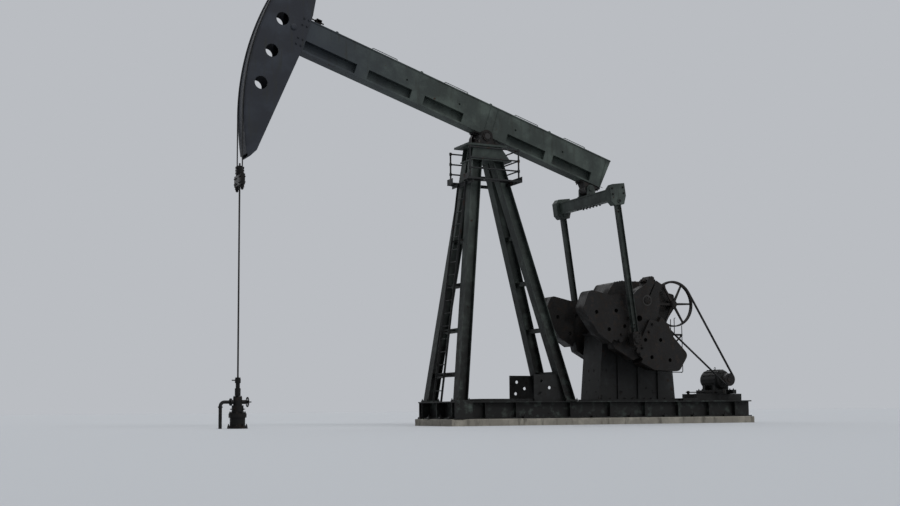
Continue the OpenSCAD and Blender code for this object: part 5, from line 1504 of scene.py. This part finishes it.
@dataclass
class BeltDrive:
    """The banded belt, and the fittings of the sheave, the pulley, the motor and its slide rails."""

    sheave: tuple[float, float] = (5.036, 2.923)
    pulley: tuple[float, float] = (6.69, 1.08)
    sheave_r: float = 0.5606
    pulley_r: float = 0.1506
    hub_face: float = -0.585
    pulley_face: float = -0.575
    belt_y: float = -0.53
    belt_half: float = 0.035
    belt_thick: float = 0.0194
    ribs: int = 4
    step: float = 0.016
    hub_ring: float = 0.07
    pulley_ring: float = 0.075
    motor_far: float = 0.4
    grille_rings: tuple[float, ...] = (0.05, 0.09, 0.13, 0.168)
    grille_reach: float = 0.172
    lid_bolts: Rows = ((7.055,), (-0.075, 0.115), (0.985, 1.175))
    gland: tuple[float, float, float] = (6.97, 0.02, 0.96)
    lifting_y: float = 0.02
    lifting_rise: float = 0.288
    boss_rise: float = 0.252
    rail_y: float = 0.24
    rail_top: float = 0.721
    screw_rise: float = 0.045
    screw_x: tuple[float, float] = (5.93, 6.484)
    block_x: tuple[float, float] = (5.98, 6.02)
    motor_nut_x: float = 6.482
    motor_foot_bolts: Rows = ((6.532, 6.848), (0.36, 0.5), (0.82,))

    def belt_path(self) -> Points:
        """The belt's inner line: an arc on each pulley, joined by their two outer tangents.

        The tangents touch both pulleys at the angle of the line of centres plus and minus the arc cosine of
        the difference of the radii over the distance.

        Returns:
            Evenly spaced points of the closed line.
        """
        start, end = np.array(self.sheave), np.array(self.pulley)
        gap = end - start
        ahead = math.atan2(gap[1], gap[0])
        reach = math.acos((self.sheave_r - self.pulley_r) / math.hypot(*gap))
        large = np.linspace(ahead + reach, ahead + 2.0 * math.pi - reach, 200)
        small = np.linspace(ahead - reach, ahead + reach, 90)
        line = np.concatenate([start + self.sheave_r * np.stack([np.cos(large), np.sin(large)], -1),
                               end + self.pulley_r * np.stack([np.cos(small), np.sin(small)], -1)])
        return walk(np.insert(line, Axis.Y.value, self.belt_y, axis=1), self.step, endless=True)

    def belt(self) -> Shape:
        """The belt: four crowned bands side by side with grooves between, carried along the closed line.

        Returns:
            The belt.
        """
        width = 2.0 * self.belt_half / self.ribs
        middles = -self.belt_half + width * (np.arange(self.ribs) + 0.5)
        crown = np.array([[-0.46, 0.55], [-0.40, 0.93], [-0.15, 1.0], [0.15, 1.0], [0.40, 0.93], [0.46, 0.55]])
        bands = middles[:, None, None] * (1.0, 0.0) + crown[None] * (width, self.belt_thick)
        outline = np.concatenate([[[-self.belt_half, 0.0]], bands.reshape(-1, 2), [[self.belt_half, 0.0]]])
        return carried(self.belt_path(), outline * (1.0, -1.0), SIDEWAYS, endless=True)

    def hub_bolts(self) -> Shape:
        """Screws in the hub of the sheave."""
        spots = ring((self.sheave[0], self.hub_face, self.sheave[1]), self.hub_ring, 3, 50.0)
        return bolts(0.016, 0.0, spots, NEARWARDS)

    def pulley_bolts(self) -> Shape:
        """Screws in the pulley's face."""
        spots = ring((self.pulley[0], self.pulley_face, self.pulley[1]), self.pulley_ring, 4, 20.0)
        return bolts(0.018, 0.0, spots, NEARWARDS)

    def motor_grille(self) -> Shape:
        """Four rings and six bars of wire over the fan's opening at the motor's far end.

        Returns:
            The rings and bars.
        """
        middle = (self.pulley[0], self.motor_far, self.pulley[1])
        made = [carried(ring(middle, radius, 40), circle(0.004, 6), SIDEWAYS, endless=True)
                for radius in self.grille_rings]
        return joined(*made, *[rod(middle, tip, 0.0045, 6) for tip in ring(middle, self.grille_reach, 6, 15.0)])

    def motor_fittings(self) -> Shape:
        """Screws of the terminal box's lid, its cable gland, and a lifting ring on top of the motor.

        Returns:
            The screws, the gland, the ring and its boss.
        """
        x, y, z = self.pulley[0], self.lifting_y, self.pulley[1]
        gland = turned(8, (0.024, -0.004), (0.024, 0.02), (0.018, 0.024), (0.018, 0.05))
        boss = turned(12, (0.022, -0.02), (0.022, 0.006), (0.012, 0.01))
        loop = ring((x, y, z + self.lifting_rise), 0.028, 24, 0.0, Axis.X)
        return joined(bolts(0.016, 0.0, grid(*self.lid_bolts), ALONG),
                      spread(gland, [self.gland], DOWN),
                      carried(loop, circle(0.007, 8), ALONG, endless=True),
                      spread(boss, [(x, y, z + self.boss_rise)], UP))

    def slide_screws(self) -> Shape:
        """The two screws that pull the motor along its rails to tighten the belt, with their blocks and nuts.

        Returns:
            The blocks, screws and nuts on both sides, and the nuts on the motor's feet.
        """
        y, z = self.rail_y, self.rail_top + self.screw_rise
        front, back = self.block_x
        return both_sides(
            block((front, y - 0.035, self.rail_top - 0.002), (back, y + 0.035, self.rail_top + 0.08), 0.005),
            rod((self.screw_x[0], y, z), (self.screw_x[1], y, z), 0.013),
            bolts(0.036, 0.0, [(front, y, z), (back, y, z), (self.motor_nut_x, y, z)], [BACK, ALONG, BACK]),
            bolts(0.03, 0.015, grid(*self.motor_foot_bolts), UP))

    def build(self, shop: Workshop) -> None:
        """Builds the belt in place of its plain solid, and the drive's fittings."""
        shop.piece("belt_banded", self.belt(), Slot.BELT_RUBBER, stands_for="drive_belt", sharp_deg=60.0)
        shop.piece("sheave_hub_bolts", self.hub_bolts(), Slot.FITTINGS, Body.SHEAVE)
        shop.piece("pulley_bolts", self.pulley_bolts(), Slot.FITTINGS, Body.PULLEY)
        shop.piece("motor_fan_grille", self.motor_grille(), Slot.MACHINE_PAINT)
        shop.piece("motor_fittings", self.motor_fittings(), Slot.MACHINE_PAINT)
        shop.piece("motor_slide_screws", self.slide_screws())


@dataclass
class Wellhead:
    """Bolts of the casing head, its collar and stuffing box, and of the flow line's flange."""

    x: float = -5.87
    line_z: float = 0.56
    line_flange: float = -6.037
    line_ring: float = 0.06
    stem_reach: float = 0.17
    casing_nuts: Ring = (0.045, 0.188, 8, 22.5)
    collar_studs: Ring = (0.32, 0.157, 8, 22.5)
    lock_screws: Ring = (0.41, 0.124, 4, 45.0)
    flange_studs: Ring = (0.66, 0.079, 6, 30.0)
    gland_studs: Ring = (1.052, 0.054, 4, 0.0)

    def round_well(self, z: float, radius: float, count: int, start_deg: float) -> Points:
        """Places round the well at one height."""
        return ring((self.x, 0.0, z), radius, count, start_deg, Axis.Z)

    def flange_bolts(self) -> Shape:
        """Anchor nuts of the casing flange, studs of the collar above it and lock screws in the hanger.

        Returns:
            The nuts, studs and screws.
        """
        locks = self.round_well(*self.lock_screws)
        return joined(bolts(0.036, 0.03, self.round_well(*self.casing_nuts), UP),
                      bolts(0.036, 0.02, self.round_well(*self.collar_studs), UP),
                      bolts(0.032, 0.03, locks, locks * (1.0, 1.0, 0.0) - (self.x, 0.0, 0.0)))

    def gland_bolts(self) -> Shape:
        """Studs of the stuffing box's flange and of its gland."""
        return joined(bolts(0.026, 0.014, self.round_well(*self.flange_studs), UP),
                      bolts(0.014, 0.02, self.round_well(*self.gland_studs), UP))

    def line_bolts(self) -> Shape:
        """Bolts of the flow line's flange, and the packing nut on the valve's stem."""
        nut = turned(6, (0.026, -0.002), (0.026, 0.022), (0.02, 0.026))
        flange = ring((self.line_flange, 0.0, self.line_z), self.line_ring, 6, 30.0, Axis.X)
        return joined(bolts(0.018, 0.0, flange, BACK),
                      spread(nut, [(self.x + self.stem_reach, 0.0, self.line_z)], ALONG))

    def build(self, shop: Workshop) -> None:
        """Builds the wellhead's pieces."""
        shop.piece("casing_head_bolts", self.flange_bolts())
        shop.piece("stuffing_box_studs", self.gland_bolts())
        shop.piece("flow_line_bolts", self.line_bolts())


@dataclass
class Studio:
    """The pale floor and surroundings, three wide suns, and the camera at the photograph's angle."""

    place: tuple[float, float, float] = (-13.83492, -26.49917, 0.34499)
    right: tuple[float, float, float] = (0.89812495, -0.43967945, -0.00731766)
    up: tuple[float, float, float] = (-0.03699006, -0.09211987, 0.99506063)
    forward: tuple[float, float, float] = (0.43818181, 0.89341811, 0.09899892)
    lens_mm: float = 51.3303
    sensor_mm: float = 36.0
    shift_up: float = 30.0 / 900.0
    sight: float = 1000.0
    floor_half: float = 400.0
    floor_z: float = -0.0005
    floor_colour: str = "bbbec2"
    backdrop: str = "babdc2"
    sky_colour: str = "e9edf2"
    sky_strength: float = 0.5
    suns: tuple[tuple[str, tuple[float, float, float], float, float], ...] = (
        ("key_sun", (0.1, -0.66, 0.74), 1.15, 30.0),
        ("fill_sun", (0.75, -0.5, 0.43), 0.5, 70.0),
        ("rear_sun", (0.2, 0.9, 0.5), 0.8, 70.0),
    )

    def lay_floor(self) -> None:
        """Lays the floor: one large square of pale matt paper."""
        half, z = self.floor_half, self.floor_z
        mesh = bpy.data.meshes.new("studio_floor")
        mesh.from_pydata([(-half, -half, z), (half, -half, z), (half, half, z), (-half, half, z)], [], [(0, 1, 2, 3)])
        mesh.materials.append(MattPaper("studio_paper", self.floor_colour).build())
        floor = bpy.data.objects.new("studio_floor", mesh)
        bpy.context.scene.collection.objects.link(floor)

    def light(self) -> None:
        """Lights the object from the sky and three wide suns; eye, gloss and glass rays see a pale backdrop."""
        world = bpy.data.worlds.new("studio_world")
        bpy.context.scene.world = world
        world.use_nodes = True
        tree = world.node_tree
        tree.nodes.clear()
        seen = add(tree, "Background", {"Color": self.backdrop, "Strength": 1.0})
        sky = add(tree, "Background", {"Color": self.sky_colour, "Strength": self.sky_strength})
        rays = add(tree, "LightPath").outputs
        straight = add(tree, "Math", {0: rays["Is Camera Ray"], 1: rays["Is Transmission Ray"]}, operation="MAXIMUM")
        share = add(tree, "Math", {0: straight, 1: rays["Is Glossy Ray"]}, operation="MAXIMUM")
        add(tree, "OutputWorld", {"Surface": add(tree, "MixShader", {0: share, 1: sky, 2: seen})})
        for name, source, strength, wide_deg in self.suns:
            lamp = bpy.data.lights.new(name, "SUN")
            lamp.energy = strength
            lamp.angle = math.radians(wide_deg)
            sun = bpy.data.objects.new(name, lamp)
            sun.rotation_euler = Vector(source).to_track_quat("Z", "Y").to_euler()
            bpy.context.scene.collection.objects.link(sun)

    def stand_camera(self) -> None:
        """Stands the camera where the photograph was taken."""
        lens = bpy.data.cameras.new("photo_camera")
        lens.lens = self.lens_mm
        lens.sensor_width = self.sensor_mm
        lens.shift_y = self.shift_up
        lens.clip_end = self.sight
        camera = bpy.data.objects.new("photo_camera", lens)
        bpy.context.scene.collection.objects.link(camera)
        back = [-value for value in self.forward]
        rows = [[*axes, spot] for axes, spot in zip(zip(self.right, self.up, back), self.place)]
        camera.matrix_world = Matrix([*rows, [0.0, 0.0, 0.0, 1.0]])
        bpy.context.scene.camera = camera

    def build(self) -> None:
        """Sets the stage."""
        bpy.context.scene.view_settings.view_transform = "Standard"
        self.lay_floor()
        self.light()
        self.stand_camera()


def main() -> None:
    """Loads the frame, dresses its nodes, builds every sub-assembly and the studio."""
    logging.basicConfig(level=logging.INFO, format="%(message)s")
    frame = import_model()
    slots = {part["node"]: part["material_slot"] for part in frame["record"]["subparts"]}
    shop = Workshop(frame["nodes"], slots)
    shop.dress_nodes()
    for assembly in (Foundation(), BaseFrame(), Post(), Platform(), WalkingBeam(), Horsehead(), Bridle(),
                     CrankAssembly(), PitmanAssembly(), GearReducer(), BeltDrive(), Wellhead()):
        assembly.build(shop)
    Studio().build()


if __name__ == "__main__":
    main()
